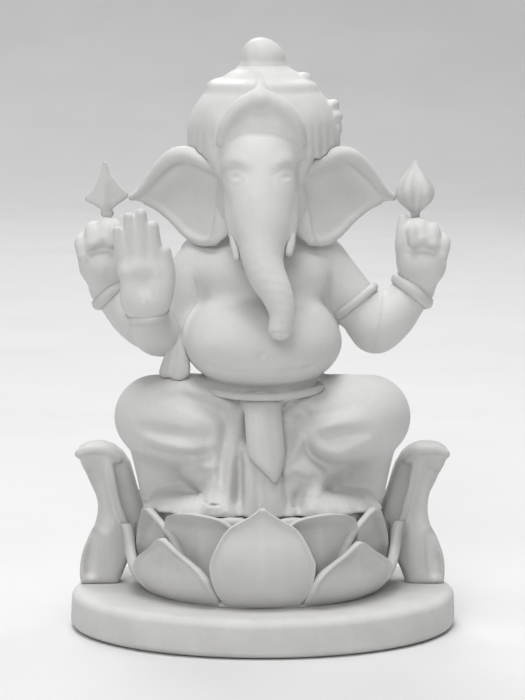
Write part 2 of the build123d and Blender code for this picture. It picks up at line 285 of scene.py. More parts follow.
def new_piece(name, node, verts, faces, slot):
    """A piece from vertices in millimetres, which stands for its CAD node."""
    mesh = bpy.data.meshes.new(name)
    mesh.from_pydata([tuple(v) for v in np.asarray(verts) * MM], [], [tuple(f) for f in faces])
    mesh.validate()
    mesh.update()
    piece = bpy.data.objects.new(name, mesh)
    bpy.context.scene.collection.objects.link(piece)
    mesh.polygons.foreach_set("use_smooth", [True] * len(mesh.polygons))
    piece.data.materials.append(material_for(slot))
    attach(piece, "root")
    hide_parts(node)
    return piece


def clay_piece(name, clay, slot):
    """The surface of a clay block as a piece of the same name as its CAD node."""
    solid = np.pad(clay.d, 1, constant_values=FAR)
    grid = openvdb.FloatGrid(FAR)
    grid.copyFromArray(np.ascontiguousarray(np.clip(solid, -FAR, FAR)))
    points, quads = grid.convertToQuads(isovalue=0.0)
    points = (points - 1 + np.array(clay.first)) * clay.step
    points, quads = without_crumbs(points, quads)
    return new_piece(name + "_surface", name, points, quads[:, ::-1], slot)


def without_crumbs(points, quads):
    """The connected surfaces with at least a sixth of the points of the largest."""
    label = np.arange(len(points))
    while True:
        lowest = label[quads].min(1)
        before = label.copy()
        for i in range(4):
            np.minimum.at(label, quads[:, i], lowest)
        label = label[label]
        if np.array_equal(before, label):
            break
    values, counts = np.unique(label, return_counts=True)
    keep = np.isin(label, values[counts * 6 >= counts.max()])
    renumber = np.cumsum(keep) - 1
    quads = quads[keep[quads[:, 0]]]
    return points[keep], renumber[quads]


# ---------------------------------------------------------------- materials

class Nodes:
    """A short way to write a node tree."""

    def __init__(self, material):
        material.use_nodes = True
        self.tree = material.node_tree
        self.shader = self.tree.nodes["Principled BSDF"]
        self.place = self.add("ShaderNodeTexCoord").outputs["Object"]

    def add(self, kind, **settings):
        node = self.tree.nodes.new(kind)
        for key, value in settings.items():
            setattr(node, key, value)
        return node

    def link(self, source, target):
        self.tree.links.new(source, target)

    def noise(self, size, detail=4.0, roughness=0.55):
        """Noise whose blotches are about size millimetres across."""
        node = self.add("ShaderNodeTexNoise")
        node.inputs["Scale"].default_value = 1 / (size * MM)
        node.inputs["Detail"].default_value = detail
        node.inputs["Roughness"].default_value = roughness
        self.link(self.place, node.inputs["Vector"])
        return node.outputs["Fac"]

    def spread(self, source, from_low, from_high, to_low, to_high):
        node = self.add("ShaderNodeMapRange")
        for key, value in (("From Min", from_low), ("From Max", from_high), ("To Min", to_low),
                           ("To Max", to_high)):
            node.inputs[key].default_value = value
        self.link(source, node.inputs["Value"])
        return node.outputs["Result"]

    def math(self, operation, a, b):
        node = self.add("ShaderNodeMath", operation=operation)
        for socket, value in zip(node.inputs, (a, b)):
            if isinstance(value, (int, float)):
                socket.default_value = value
            else:
                self.link(value, socket)
        return node.outputs[0]

    def bump(self, height, distance, strength=1.0, under=None):
        node = self.add("ShaderNodeBump")
        node.inputs["Distance"].default_value = distance * MM
        node.inputs["Strength"].default_value = strength
        self.link(height, node.inputs["Height"])
        if under is not None:
            self.link(under, node.inputs["Normal"])
        return node.outputs["Normal"]


SHADE_OF_CAST = 0.80


def cast_stone(name, colour, roughness, grain, cloudiness=0.05, hollow_shade=0.16):
    """Matt marble-dust casting: clouded white, sandy grain, air pits, painted shade in the hollows and a
    painted highlight on the edges.
    """
    material = bpy.data.materials.new(name)
    nodes = Nodes(material)
    cloud = nodes.spread(nodes.noise(14, 5), 0.3, 0.7, 1 - cloudiness, 1 + cloudiness * 0.5)
    speck = nodes.spread(nodes.noise(0.45, 2), 0.35, 0.7, 1.02, 0.955)
    # Painted shade: pointiness darkens the base colour in hollows, creases and seams, and lightens it a
    # little on ridges and edges as a painted highlight.
    pointed = nodes.add("ShaderNodeNewGeometry").outputs["Pointiness"]
    painted_hollow_shade_edge_light = nodes.spread(pointed, 0.44, 0.53, 1 - hollow_shade, 1.05)
    shade = nodes.math("MULTIPLY", nodes.math("MULTIPLY", cloud, speck), painted_hollow_shade_edge_light)
    scale = nodes.add("ShaderNodeVectorMath", operation="SCALE")
    scale.inputs[0].default_value = [channel * SHADE_OF_CAST for channel in colour]
    nodes.link(shade, scale.inputs["Scale"])
    nodes.link(scale.outputs[0], nodes.shader.inputs["Base Color"])
    rough = nodes.spread(nodes.noise(5, 3), 0.3, 0.7, roughness - 0.07, roughness + 0.08)
    nodes.link(rough, nodes.shader.inputs["Roughness"])
    pits = nodes.add("ShaderNodeTexVoronoi")
    pits.inputs["Scale"].default_value = 1 / (2.6 * MM)
    nodes.link(nodes.place, pits.inputs["Vector"])
    pit = nodes.spread(pits.outputs["Distance"], 0.03, 0.11, 0.0, 1.0)
    rubbed = nodes.bump(nodes.noise(6.5, 3), 0.22, 0.6)
    sandy = nodes.bump(nodes.noise(0.55, 3), grain, 0.7, rubbed)
    nodes.link(nodes.bump(pit, 0.06, 0.35, sandy), nodes.shader.inputs["Normal"])
    nodes.shader.inputs["Specular IOR Level"].default_value = 0.35
    nodes.shader.inputs["Sheen Weight"].default_value = 0.05
    return material


def felt_material():
    material = bpy.data.materials.new("felt")
    nodes = Nodes(material)
    fibres = nodes.noise(0.5, 6, 0.8)
    tint = nodes.add("ShaderNodeMix", data_type="RGBA")
    tint.inputs["A"].default_value = (0.030, 0.034, 0.031, 1)
    tint.inputs["B"].default_value = (0.075, 0.082, 0.076, 1)
    nodes.link(fibres, tint.inputs["Factor"])
    nodes.link(tint.outputs["Result"], nodes.shader.inputs["Base Color"])
    nodes.link(nodes.bump(fibres, 0.25, 0.8), nodes.shader.inputs["Normal"])
    nodes.shader.inputs["Roughness"].default_value = 0.95
    nodes.shader.inputs["Sheen Weight"].default_value = 0.3
    return material


def steel_material():
    material = bpy.data.materials.new("steel")
    nodes = Nodes(material)
    drawn = nodes.noise(0.35, 5, 0.7)
    nodes.link(nodes.spread(drawn, 0.3, 0.7, 0.28, 0.44), nodes.shader.inputs["Roughness"])
    nodes.link(nodes.bump(drawn, 0.02, 0.5), nodes.shader.inputs["Normal"])
    nodes.shader.inputs["Metallic"].default_value = 1.0
    nodes.shader.inputs["Base Color"].default_value = (0.55, 0.55, 0.56, 1)
    return material


def slot_colour(slot):
    for entry in frame["record"]["materials"]:
        if entry["slot"] == slot:
            return entry["base_color"][:3]
    raise KeyError(slot)


MADE = {}
CAST = {
    "base_cast": dict(roughness=0.62, grain=0.075, cloudiness=0.07),
    "lotus_cast": dict(roughness=0.60, grain=0.060),
    "skin_cast": dict(roughness=0.54, grain=0.040, cloudiness=0.04),
    "cloth_cast": dict(roughness=0.64, grain=0.080),
    "ornament_cast": dict(roughness=0.52, grain=0.045),
    "tusk_cast": dict(roughness=0.42, grain=0.025, cloudiness=0.03),
}


def material_for(slot):
    if slot not in MADE:
        if slot in CAST:
            MADE[slot] = cast_stone(slot, slot_colour(slot), **CAST[slot])
        else:
            MADE[slot] = {"felt": felt_material, "steel": steel_material}[slot]()
    return MADE[slot]


def finish_cad_node(node, slot):
    """A CAD node whose shape is right keeps it, and gets the slot's material."""
    data = frame["nodes"][node].data
    data.materials.clear()
    data.materials.append(material_for(slot))


# ---------------------------------------------------------------- camera, light and floor

CAMERA_DISTANCE = 1.0
CAMERA_TILT = math.radians(7)
CAMERA_LENS = 131.9
AIM_HEIGHT = 0.474
WORLD_LIGHT = 0.27
LAMPS = [  # name, place, diameter, power
    ("top", (-0.1, -0.35, 2.1), 1.1, 30.0),
    ("front", (-0.45, -1.9, 1.35), 0.9, 13.0),
    ("rim", (0.9, 1.0, 1.5), 0.8, 5.0),
    ("back", (-0.5, 2.4, 2.4), 1.6, 42.0),
]
FLOOR_FLAT = 2.4
FLOOR_TURN_UP = 1.5


def make_studio():
    """Camera at the photograph's angle, four soft lamps, and a pale floor that turns up all round."""
    scene = bpy.context.scene
    scene.view_settings.view_transform = "Standard"
    world = bpy.data.worlds.new("studio")
    world.use_nodes = True
    world.node_tree.nodes["Background"].inputs["Color"].default_value = (1.0, 1.0, 1.0, 1)
    world.node_tree.nodes["Background"].inputs["Strength"].default_value = WORLD_LIGHT
    scene.world = world

    lowest, highest = CAD_BOX
    aim = Vector(((lowest.x + highest.x) / 2, 0, lowest.z + AIM_HEIGHT * (highest.z - lowest.z)))
    data = bpy.data.cameras.new("camera")
    data.sensor_width = 36
    data.lens = CAMERA_LENS
    camera = bpy.data.objects.new("camera", data)
    camera.location = aim + CAMERA_DISTANCE * Vector((0, -math.cos(CAMERA_TILT), math.sin(CAMERA_TILT)))
    camera.rotation_euler = (math.pi / 2 - CAMERA_TILT, 0, 0)
    scene.collection.objects.link(camera)
    scene.camera = camera

    for name, place, size, power in LAMPS:
        lamp = bpy.data.lights.new(name, "AREA")
        lamp.shape = "DISK"
        lamp.size = size
        lamp.energy = power
        light = bpy.data.objects.new(name, lamp)
        light.location = place
        light.rotation_euler = (aim - Vector(place)).to_track_quat("-Z", "Y").to_euler()
        scene.collection.objects.link(light)

    profile = [(0, 0, 0), (0.6, 0.6, 0), (1.5, 1.5, 0)]
    for a in np.linspace(0, math.pi / 2, 25):
        reach = FLOOR_FLAT + FLOOR_TURN_UP * math.sin(a)
        profile.append((reach, reach, FLOOR_TURN_UP * (1 - math.cos(a))))
    verts, faces = ring_mesh(profile, 96)
    mesh = bpy.data.meshes.new("floor")
    mesh.from_pydata(verts.tolist(), [], [face[::-1] for face in faces])
    mesh.polygons.foreach_set("use_smooth", [True] * len(mesh.polygons))
    floor = bpy.data.objects.new("floor", mesh)
    scene.collection.objects.link(floor)
    paper = bpy.data.materials.new("paper")
    nodes = Nodes(paper)
    tone = nodes.spread(nodes.noise(120, 3), 0.3, 0.7, 0.66, 0.69)
    grey = nodes.add("ShaderNodeCombineColor")
    for channel in grey.inputs:
        nodes.link(tone, channel)
    nodes.link(grey.outputs[0], nodes.shader.inputs["Base Color"])
    nodes.shader.inputs["Roughness"].default_value = 0.9
    floor.data.materials.append(paper)


# ---------------------------------------------------------------- plinth

def ring_mesh(profile, sides):
    """Rings joined into one closed skin; profile gives each ring's x radius, y radius and z."""
    verts, faces = [], []
    for rx, ry, z in profile:
        if rx == 0:
            verts.append((0, 0, z))
            continue
        for i in range(sides):
            a = 2 * math.pi * i / sides
            verts.append((rx * math.cos(a), ry * math.sin(a), z))
    start = 0
    for (rx, _, _), (next_rx, _, _) in zip(profile, profile[1:]):
        for i in range(sides):
            j = (i + 1) % sides
            if rx == 0:
                faces.append((start, start + 1 + j, start + 1 + i))
            elif next_rx == 0:
                faces.append((start + i, start + j, start + sides))
            else:
                faces.append((start + i, start + j, start + sides + j, start + sides + i))
        start += 1 if rx == 0 else sides
    return np.array(verts), faces


def wobble(verts, amount, size, seed):
    """Push points by a smooth, fixed unevenness, as a hand-finished casting has."""
    phases = np.random.default_rng(seed).uniform(0, 2 * math.pi, (3, 3, 3))
    moved = verts.copy()
    for axis in range(3):
        for k in range(3):
            wave = sum(np.sin(verts[:, i] / (size / (1 + 0.7 * k)) + phases[axis, k, i]) for i in range(3))
            moved[:, axis] += amount * wave / (3 * (1 + k))
    return moved


PLINTH_FOOT_ROUND = 3.0
PLINTH_SHOULDER = 4.2
FELT_GAP = 0.15


def make_plinth():
    """Oval slab with a recess for the felt underneath, a rounded foot and a soft shoulder."""
    (_, _, foot), (rx, ry, top) = low("plinth"), high("plinth")
    felt_top, felt_x, felt_y = high("base_felt")[2], high("base_felt")[0], high("base_felt")[1]
    roof, wall_x, wall_y = felt_top + FELT_GAP, felt_x + FELT_GAP, felt_y + FELT_GAP
    profile = [(0, 0, roof), (felt_x * 0.5, felt_y * 0.5, roof), (wall_x, wall_y, roof),
               (wall_x, wall_y, foot)]
    for a in np.linspace(0, math.pi / 2, 7):
        inset = PLINTH_FOOT_ROUND * (1 - math.sin(a))
        profile.append((rx - inset, ry - inset, foot + PLINTH_FOOT_ROUND * (1 - math.cos(a))))
    for a in np.linspace(0, math.pi / 2, 9):
        inset = PLINTH_SHOULDER * (1 - math.cos(a)) + 0.35
        profile.append((rx - inset, ry - inset, top - PLINTH_SHOULDER * 0.8 * (1 - math.sin(a))))
    for share in (0.88, 0.8, 0.7, 0.55, 0.3):
        profile.append((rx * share, ry * share, top))
    profile.append((0, 0, top))
    verts, faces = ring_mesh(profile, 200)
    raised = verts[:, 2] > foot + 2
    verts[raised] = wobble(verts[raised], 0.42, 13, 3)
    new_piece("plinth_surface", "plinth", verts, faces, "base_cast")


# ---------------------------------------------------------------- lotus

def make_lotus_core():
    """The pod: a flared bowl with a rolled lip and a softly ribbed seat."""
    (rx, ry, top), foot = high("lotus_core"), low("lotus_core")[2]
    rise = top - foot
    wall = through([(0.0, 1.00), (0.12, 0.955), (0.4, 0.93), (0.75, 0.955), (0.93, 0.99), (1.0, 0.965),
                    (0.985, 0.90)], 5)
    profile = [(0, 0, foot), (rx * 0.6, ry * 0.6, foot)]
    profile += [(rx * share, ry * share, foot + rise * height) for height, share in wall]
    seat = [0.82, 0.74, 0.66, 0.58, 0.5, 0.4, 0.3, 0.2, 0.1]
    profile += [(rx * share, ry * share, top - 0.6 + 0.5 * math.cos(share * 22)) for share in seat]
    profile.append((0, 0, top - 0.3))
    verts, faces = ring_mesh(profile, 192)
    angle = np.arctan2(verts[:, 1] / ry, verts[:, 0] / rx)
    out = np.hypot(verts[:, 0] / rx, verts[:, 1] / ry)
    verts[:, 2] += 0.35 * np.cos(24 * angle) * np.clip((out - 0.45) * 3, 0, 1) * (verts[:, 2] > top - 3)
    verts = wobble(verts, 0.12, 8, 5)
    verts[:, 2] = np.maximum(verts[:, 2], foot + 0.02)
    new_piece("lotus_core_surface", "lotus_core", verts, faces, "lotus_cast")


FRONT_PAIR_TURN = 30
SIDE_PAIR_SHIFT = 9
LEAF_RISE = [0.0, 0.12, 0.28, 0.45, 0.60, 0.72, 0.82, 0.90, 0.96, 1.0]
FRONT_LEAF = [0.66, 0.84, 0.96, 1.0, 0.88, 0.76, 0.60, 0.30, 0.13, 0.03]
SIDE_LEAF = [0.90, 0.97, 1.0, 0.98, 0.84, 0.60, 0.36, 0.22, 0.12, 0.03]
TALL_LEAF = [0.85, 0.95, 1.0, 0.96, 0.84, 0.68, 0.48, 0.30, 0.15, 0.03]
BLUNT_LEAF = [0.80, 0.90, 0.97, 1.0, 1.0, 0.97, 0.90, 0.76, 0.52, 0.08]


def petal_mesh(turn, foot_x, foot_y, foot, leaf, height, width, lean, belly, curl, dish, thick, droop=0.0,
               skew=0.0):
    """One carved petal: a cupped leaf with a thick rolled rim and an ogee tip that turns outwards.

    lean is how far the tip stands out from the foot, belly how far the middle does, curl how far the last
    of the tip rolls out, dish the depth inside the rim, and droop how far the top hangs over, in millimetres.
    leaf gives the share of the width that is reached at each of LEAF_RISE.
    """
    columns, rows = 41, 44
    across = np.sin(np.linspace(-math.pi / 2, math.pi / 2, columns))
    rise = 1 - (1 - np.linspace(0, 1, rows)) ** 1.3
    half = np.interp(rise, LEAF_RISE, leaf) * width / 2
    for _ in range(3):
        half = np.convolve(np.pad(half, 1, mode="edge"), [0.25, 0.5, 0.25], "valid")
    s, t = np.meshgrid(across, rise)
    w = half[:, None]
    side = s * w + skew * height * t ** 2
    radius = 0.5 * (foot_x + foot_y)
    out = lean * t + belly * np.sin(math.pi * t ** 0.85) - 1.1 * side ** 2 / (2 * radius)
    out = out + curl * np.clip((t - 0.70) / 0.30, 0, 1) ** 2
    lip = np.exp(-((1 - np.abs(s)) * w / 1.3) ** 2)
    lip = np.maximum(lip, np.exp(-((1 - t) * height / 1.6) ** 2)) * np.clip(t * 2.5 - 0.15, 0, 1)
    hollow = dish * np.clip(1 - s ** 4, 0, 1) * np.sin(math.pi * t ** 2.0) ** 0.8
    rib = 0.35 * np.exp(-(s * w / 1.5) ** 2) * np.clip(t * 1.4, 0, 1) * np.clip((1.0 - t) * 3, 0, 1)
    hang = np.clip((t - 0.78) / 0.22, 0, 1)
    front = out - hollow + rib + lip + droop * 1.5 * hang ** 1.5
    up = height * t - droop * hang ** 2
    wall = thick * (1.3 - 0.7 * t) * (1 - 0.5 * np.abs(s) ** 5)
    back = out - dish * 0.2 - wall + droop * 1.2 * hang ** 1.5
    a = math.radians(turn)
    outward = np.array([foot_y * math.sin(a), -foot_x * math.cos(a)])
    outward = outward / np.linalg.norm(outward)
    sideways = np.array([-outward[1], outward[0]])
    base = np.array([foot_x * math.sin(a), -foot_y * math.cos(a)])
    skins = []
    for skin in (front, back):
        x = base[0] + outward[0] * skin + sideways[0] * side
        y = base[1] + outward[1] * skin + sideways[1] * side
        skins.append(np.stack([x, y, foot + up], -1).reshape(-1, 3))
    verts = np.vstack(skins)
    n = rows * columns
    faces = []
    for r in range(rows - 1):
        for c in range(columns - 1):
            i = r * columns + c
            faces.append((i, i + 1, i + columns + 1, i + columns))
            faces.append((n + i, n + i + columns, n + i + columns + 1, n + i + 1))
    rim_loop = list(range(columns)) + [r * columns + columns - 1 for r in range(1, rows)]
    rim_loop += [(rows - 1) * columns + c for c in range(columns - 2, -1, -1)]
    rim_loop += [r * columns for r in range(rows - 2, 0, -1)]
    for i, j in zip(rim_loop, rim_loop[1:] + rim_loop[:1]):
        faces.append((j, i, n + i, n + j))
    return verts, faces


def make_petals():
    """Two rings of eight leaves; the inner leaves beside the front are turned towards it."""
    turns = [(i + 0.5) * 45 for i in range(8)]
    turns[0], turns[7] = FRONT_PAIR_TURN, -FRONT_PAIR_TURN
    turns[1] -= SIDE_PAIR_SHIFT
    turns[6] += SIDE_PAIR_SHIFT
    rng = np.random.default_rng(11)
    foot = low("lotus_core")[2]
    waist_x, waist_y = high("lotus_core")[0] * 0.93, high("lotus_core")[1] * 0.93
    for i in range(8):
        tall = high(f"outer_petal_{i + 1}")[2] - foot
        jitter = rng.uniform(-1, 1, 4)
        if i == 0:
            shape = dict(leaf=FRONT_LEAF, height=tall, width=40.5, lean=4.2, belly=7.0, curl=2.4, dish=0.3,
                         thick=5.5)
        else:
            shape = dict(leaf=SIDE_LEAF, height=tall + 1.6 + 0.8 * jitter[0], width=39.0 + jitter[1],
                         lean=6.4, belly=6.5,
                         curl=3.6 + 0.5 * jitter[2], dish=2.6, thick=5.0, skew=0.05 * jitter[3])
        verts, faces = petal_mesh(i * 45, waist_x + 2.8, waist_y + 2.8, foot, **shape)
        new_piece(f"outer_petal_{i + 1}_surface", f"outer_petal_{i + 1}", verts, faces, "lotus_cast")
    for i in range(8):
        tall = high(f"inner_petal_{i + 1}")[2] - foot
        jitter = rng.uniform(-1, 1, 4)
        beside_front = i in (0, 7)
        shape = dict(leaf=BLUNT_LEAF if beside_front else TALL_LEAF,
                     height=tall + (5.2 if beside_front else 1.8) + 0.6 * jitter[0],
                     width=(31.0 if beside_front else 34.0) + jitter[1], lean=6.0, belly=3.6,
                     curl=1.0 if beside_front else 3.4, dish=4.2 if beside_front else 5.0, thick=4.2,
                     droop=2.2 if beside_front else 0.0, skew=0.05 * jitter[3])
        verts, faces = petal_mesh(turns[i], waist_x + 0.4, waist_y + 0.4, foot, **shape)
        new_piece(f"inner_petal_{i + 1}_surface", f"inner_petal_{i + 1}", verts, faces, "lotus_cast")


# ---------------------------------------------------------------- throne posts

def post_clay(side):
    """A scrolled post: column with a hollowed face, a ridge, and a slanting dished panel to the lotus."""
    (_, front, foot), (_, back, top) = low("left_post"), high("left_post")
    s = side

    column = through([(71.8, foot), (72.2, 20), (71.6, 26), (69.2, 32.5), (66.3, 38.5), (65.2, 44),
                      (66.0, 50),
                      (68.8, 57), (71.6, 63.0), (73.0, 67.6)], 5)
    head = through([(73.0, 68.2), (69.5, 70.2), (63.5, top), (58.8, 69.6), (55.2, 66.8)], 5)
    inner = through([(52.6, 62.5), (50.6, 56), (47.8, 47), (46.6, 40), (49.5, 30), (54, 22), (57, foot)], 5)
    outline = [(s * x, z) for x, z in np.vstack([column, head, inner])]
    depth = back - front
    clay = Clay((-80 if s < 0 else 40, front - 6, foot - 3), (-40 if s < 0 else 80, back + 6, top + 5), 0.6)

    def middle(x, z):
        return (front + back) / 2 + 0.02 * (z - foot) + np.clip(58 - np.abs(x), 0, 20) * 0.22

    def thick(x, z):
        return depth - 1.5 - np.clip(60 - np.abs(x), 0, 20) * 0.42

    clay.add(slab(outline, middle, thick, 2.2))
    y = front + 1.4
    clay.cut(rope([(s * 66.0, y - 0.2, 58.0, 3.0), (s * 64.2, y, 50, 3.4), (s * 62.6, y, 43, 3.2),
                   (s * 63.4, y - 0.4, 38.5, 2.8)]), 2.5)
    clay.cut(rope([(s * 66.5, y - 0.4, 34, 2.6), (s * 67.5, y - 0.6, 25, 3.2), (s * 67.8, y - 0.2, 20, 2.4)]),
             2.0)
    clay.add(rope([(s * 60.2, y + 0.6, 66, 1.2), (s * 58.6, y - 0.4, 56, 1.5), (s * 56.4, y - 0.5, 47, 1.6),
                   (s * 53.2, y + 0.2, 36, 1.5), (s * 50.5, y + 2.0, 28, 1.0)]), 1.6)
    clay.cut(rope([(s * 56.4, y + 0.4, 62, 1.6), (s * 54.2, y + 0.4, 53, 2.2), (s * 51.4, y + 0.8, 43, 2.0),
                   (s * 50.0, y + 1.6, 36, 1.2)]), 1.8)
    clay.add(rope([(s * 72.4, y + 1.0, 66.8, 1.4), (s * 68.0, y + 0.2, 68.4, 1.7),
                   (s * 61.5, y + 0.2, 68.0, 1.6),
                   (s * 56.5, y + 1.0, 64.5, 1.2)]), 1.8)
    return clay


def make_posts():
    """Both posts, each with a faint unevenness from hand finishing."""
    for side, name in ((-1, "left_post"), (1, "right_post")):
        clay = post_clay(side)
        clay.swell(lambda x, y, z: 0.16 * np.sin(x / 2.7 + z / 5.1) * np.sin(y / 2.9 - z / 3.3))
        clay_piece(name, clay, "base_cast")


# ---------------------------------------------------------------- the figure

STEP = 0.55
CROWN_DOME = (29.4, 27.0, 24.6)
SEAM = 0.03


def torso_clay():
    """Seat, round belly, chest and shoulders, with a navel, a soft fold under the belly and a spine."""
    clay = Clay((-38, -44, 46), (38, 28, 168), STEP)
    clay.add(egg((0, 2, 74), (24, 20.5, 31)))
    clay.add(egg((0, -1, 94), (24, 23, 10)), 5)
    clay.add(egg((0, -8.8, 113.0), (30.6, 28.3, 18.8)), 3)
    clay.add(egg((0, 0.5, 134), (25.5, 17, 20)), 6)
    for side in (-1, 1):
        clay.add(egg((side * 12.5, -11.0, 138.8), (13.2, 9.2, 10.2), (0, 0, side * 12)), 5)
        clay.add(egg((side * 19, 3.5, 145), (11, 10.5, 8.5)), 5)
        clay.add(egg((side * 10.5, 13.5, 138), (10, 6, 13)), 4)
        clay.add(egg((side * 13, -14, 121), (11, 10, 8)), 8)
    clay.add(rope([(0, 1, 146, 13), (0, 0, 156, 11.2), (0, -2, 165, 11)]), 6)
    clay.cut(rope([(0, 19.5, 150, 2.0), (0, 20.5, 138, 2.6), (0, 21.2, 124, 2.2), (0, 22, 108, 1.4)]), 4)
    for side in (-1, 1):
        clay.cut(rope([(side * 5.5, -22.6, 133.5, 0.6), (side * 12, -24.2, 130.6, 0.9),
                       (side * 20, -21.1, 130.4, 0.9),
                       (side * 26.5, -13.1, 132.6, 0.6)]), 3.2)
    clay.cut(rope([(0, -22.2, 147, 0.9), (0, -22.8, 139, 1.2), (0, -24.8, 132, 0.8)]), 3.5)
    clay.cut(egg((0, -38.2, 110.3), (1.7, 2.4, 1.4)), 1.6)
    clay.cut(rope([(-20, -27.5, 104.4, 0.7), (-9, -34.2, 102.4, 0.9), (5, -34.6, 102.2, 0.9),
                   (19, -28.4, 104.4, 0.7)]),
             2.4)
    return clay


def head_clay():
    """The elephant's head: a broad smooth face that runs straight down into the trunk."""
    clay = Clay((-27, -52, 112), (27, 24, 204), STEP)
    clay.add(egg((0, -3, 180), (18.2, 21, 19)))
    clay.add(rope([(0, 1, 150, 10.2), (0, -2, 160, 11.0), (0, -5, 168, 13)]), 4)
    clay.add(egg((-1.2, -13.5, 180.5), (15.6, 16.8, 14.2)), 3)
    trunk = [(-1.2, -15.5, 182, 14.6), (-0.9, -20.8, 175, 13.9), (-0.6, -25.2, 167.5, 12.8),
             (-0.4, -29.0, 160, 11.4), (-0.3, -33.0, 153.0, 9.0), (0.1, -36.2, 146.8, 7.7),
             (1.9, -38.8, 141.0, 7.0), (4.9, -41.0, 135.4, 6.1), (6.9, -42.2, 130.0, 5.2),
             (7.3, -42.7, 126.0, 4.8), (6.6, -43.0, 121.9, 4.5)]
    clay.add(rope(trunk, 5), 4)
    clay.add(rope([(-14.0, -13, 184.5, 6.0), (-8.5, -17, 187.6, 7.0), (0, -19, 188.4, 7.0),
                   (7.2, -17, 187.6, 7.0),
                   (11.8, -13, 184.5, 6.0)], 5), 2)
    clay.add(rope([(0, -13, 158, 8), (0, -22, 154.0, 5.2), (0, -28.5, 151.6, 2.4)]), 3)
    for side in (-1, 1):
        clay.add(rope([(side * 9.4 - 0.4, -22.5, 166.5, 4.4), (side * 9.6 - 0.3, -26.8, 160.0, 3.9),
                       (side * 9.7, -29.4, 155.0, 2.8)]), 3)
        clay.add(egg((side * 11.5, -10, 167), (6.0, 9, 9.5)), 4)
        clay.add(rope([(side * 17.4 - 0.4, -13.5, 194, 3.2), (side * 17.0 - 0.4, -15.0, 186, 3.0),
                       (side * 15.2 - 0.4, -16.5, 179, 2.2)]), 3)
    for side, x in ((-1, -9.9), (1, 8.9)):
        clay.stroke([(x - 3.2, 178.3, 3.2, -0.7), (x, 178.9, 3.6, -1.2), (x + 3.2, 178.3, 3.2, -0.7)])
        clay.stroke([(x - 3.0, 177.6, 1.0, 0.25), (x, 178.8, 1.2, 0.6), (x + 3.0, 177.6, 1.0, 0.25)])
        clay.stroke([(x - 2.6, 176.6, 0.8, 0.2), (x, 175.8, 1.0, 0.4), (x + 2.6, 176.6, 0.8, 0.2)])
        clay.stroke([(x - 3.6, 181.9, 2.2, 0.3), (x, 183.6, 2.4, 0.7), (x + 3.6, 182.4, 2.2, 0.4)])
    clay.stroke([(-1.0, 191, 4.2, -0.35), (-0.9, 183, 3.8, -0.55), (-0.8, 175, 3.2, -0.1)])

    def wrinkles(x, y, z):
        lean = 0.05 * (x - np.clip((147 - z) * 0.32, 0, 7)) ** 2
        fade = np.clip((158 - z) / 22, 0, 1) * np.clip((z - 116) / 6, 0, 1) * np.clip((-y - 30) / 5, 0, 1)
        return 0.06 * fade * np.cos(2 * math.pi * (z + lean) / 3.8)

    clay.cut(rope([(8.8, -47.2, 119.4, 0.9), (4.9, -47.4, 119.8, 0.9)]), 1.0)
    return clay.swell(wrinkles)


def ear_clay(side):
    """A broad ear, dished, with its upper edge folded forward into a thick roll and soft ribs inside."""
    s = side
    clay = Clay((-60 if s < 0 else 8, -28, 144), (-8 if s < 0 else 60, 20, 194), STEP)
    outline = [(13.0, 176.8), (16.5, 180.6), (22.0, 184.4), (28.0, 187.5), (34.5, 186.9), (39.8, 182.8),
               (44.4, 177.2), (48.4, 171.6), (52.2, 167.4), (47.4, 165.9), (41.8, 163.2), (36.2, 159.2),
               (30.8, 153.8), (26.2, 150.6), (20.6, 150.2), (15.4, 152.6), (12.2, 157.0), (11.6, 166.0)]
    outline = through([(s * x, z) for x, z in outline], 4, closed=True)

    def middle(x, z):
        reach = np.abs(x)
        dish = 1 - ((reach - 31) / 21) ** 2 - ((z - 168) / 20) ** 2
        ribs = 0.5 * np.cos((reach - 20 + (z - 168) * 0.55) / 3.1) * np.clip(dish * 1.6, 0, 1)
        return -15.5 + (reach - 13) * 0.58 + 4.0 * np.clip(dish, 0, 1) + ribs

    def edge(x, z, forward):
        return float(middle(np.array(s * x), np.array(z))) - forward

    clay.add(slab(outline, middle, lambda x, z: 3.4 - 0.022 * np.abs(x), 1.3))
    roll = [(13.6, 176.0, 1.5), (17.5, 179.4, 2.2), (22.6, 182.4, 2.7), (28.4, 184.6, 3.0),
            (34.2, 183.8, 3.0),
            (39.0, 180.0, 2.7), (43.4, 174.9, 2.2), (47.6, 170.0, 1.6), (51.0, 167.6, 1.0)]
    clay.add(rope([(s * x, edge(x, z, 1.6), z, r) for x, z, r in roll], 5), 2.0)
    hem = [(45.5, 166.0, 0.9), (40.5, 163.6, 1.1), (35.0, 159.6, 1.2), (29.6, 154.4, 1.3), (24.0, 151.8, 1.3),
           (18.4, 152.2, 1.3)]
    clay.add(rope([(s * x, edge(x, z, 0.9), z, r) for x, z, r in hem], 5), 1.4)
    fold = [(17.0, 163.0, 1.0), (17.4, 157.0, 1.6), (18.8, 152.4, 1.4)]
    clay.add(rope([(s * x, edge(x, z, 1.4), z, r) for x, z, r in fold], 5), 1.8)
    return clay


def tusk_clay(side, tip, blunt):
    """A short tusk beside the trunk, which narrows to a blunt tip."""
    clay = Clay((side * 10 - 6, -40, 142), (side * 10 + 6, -24, 162), STEP)
    return clay.add(rope([(side * 10.3, -29.6, 157.5, 2.3), (side * 10.3, -32.0, 153.0, 2.0), (*tip, blunt)],
                         5))


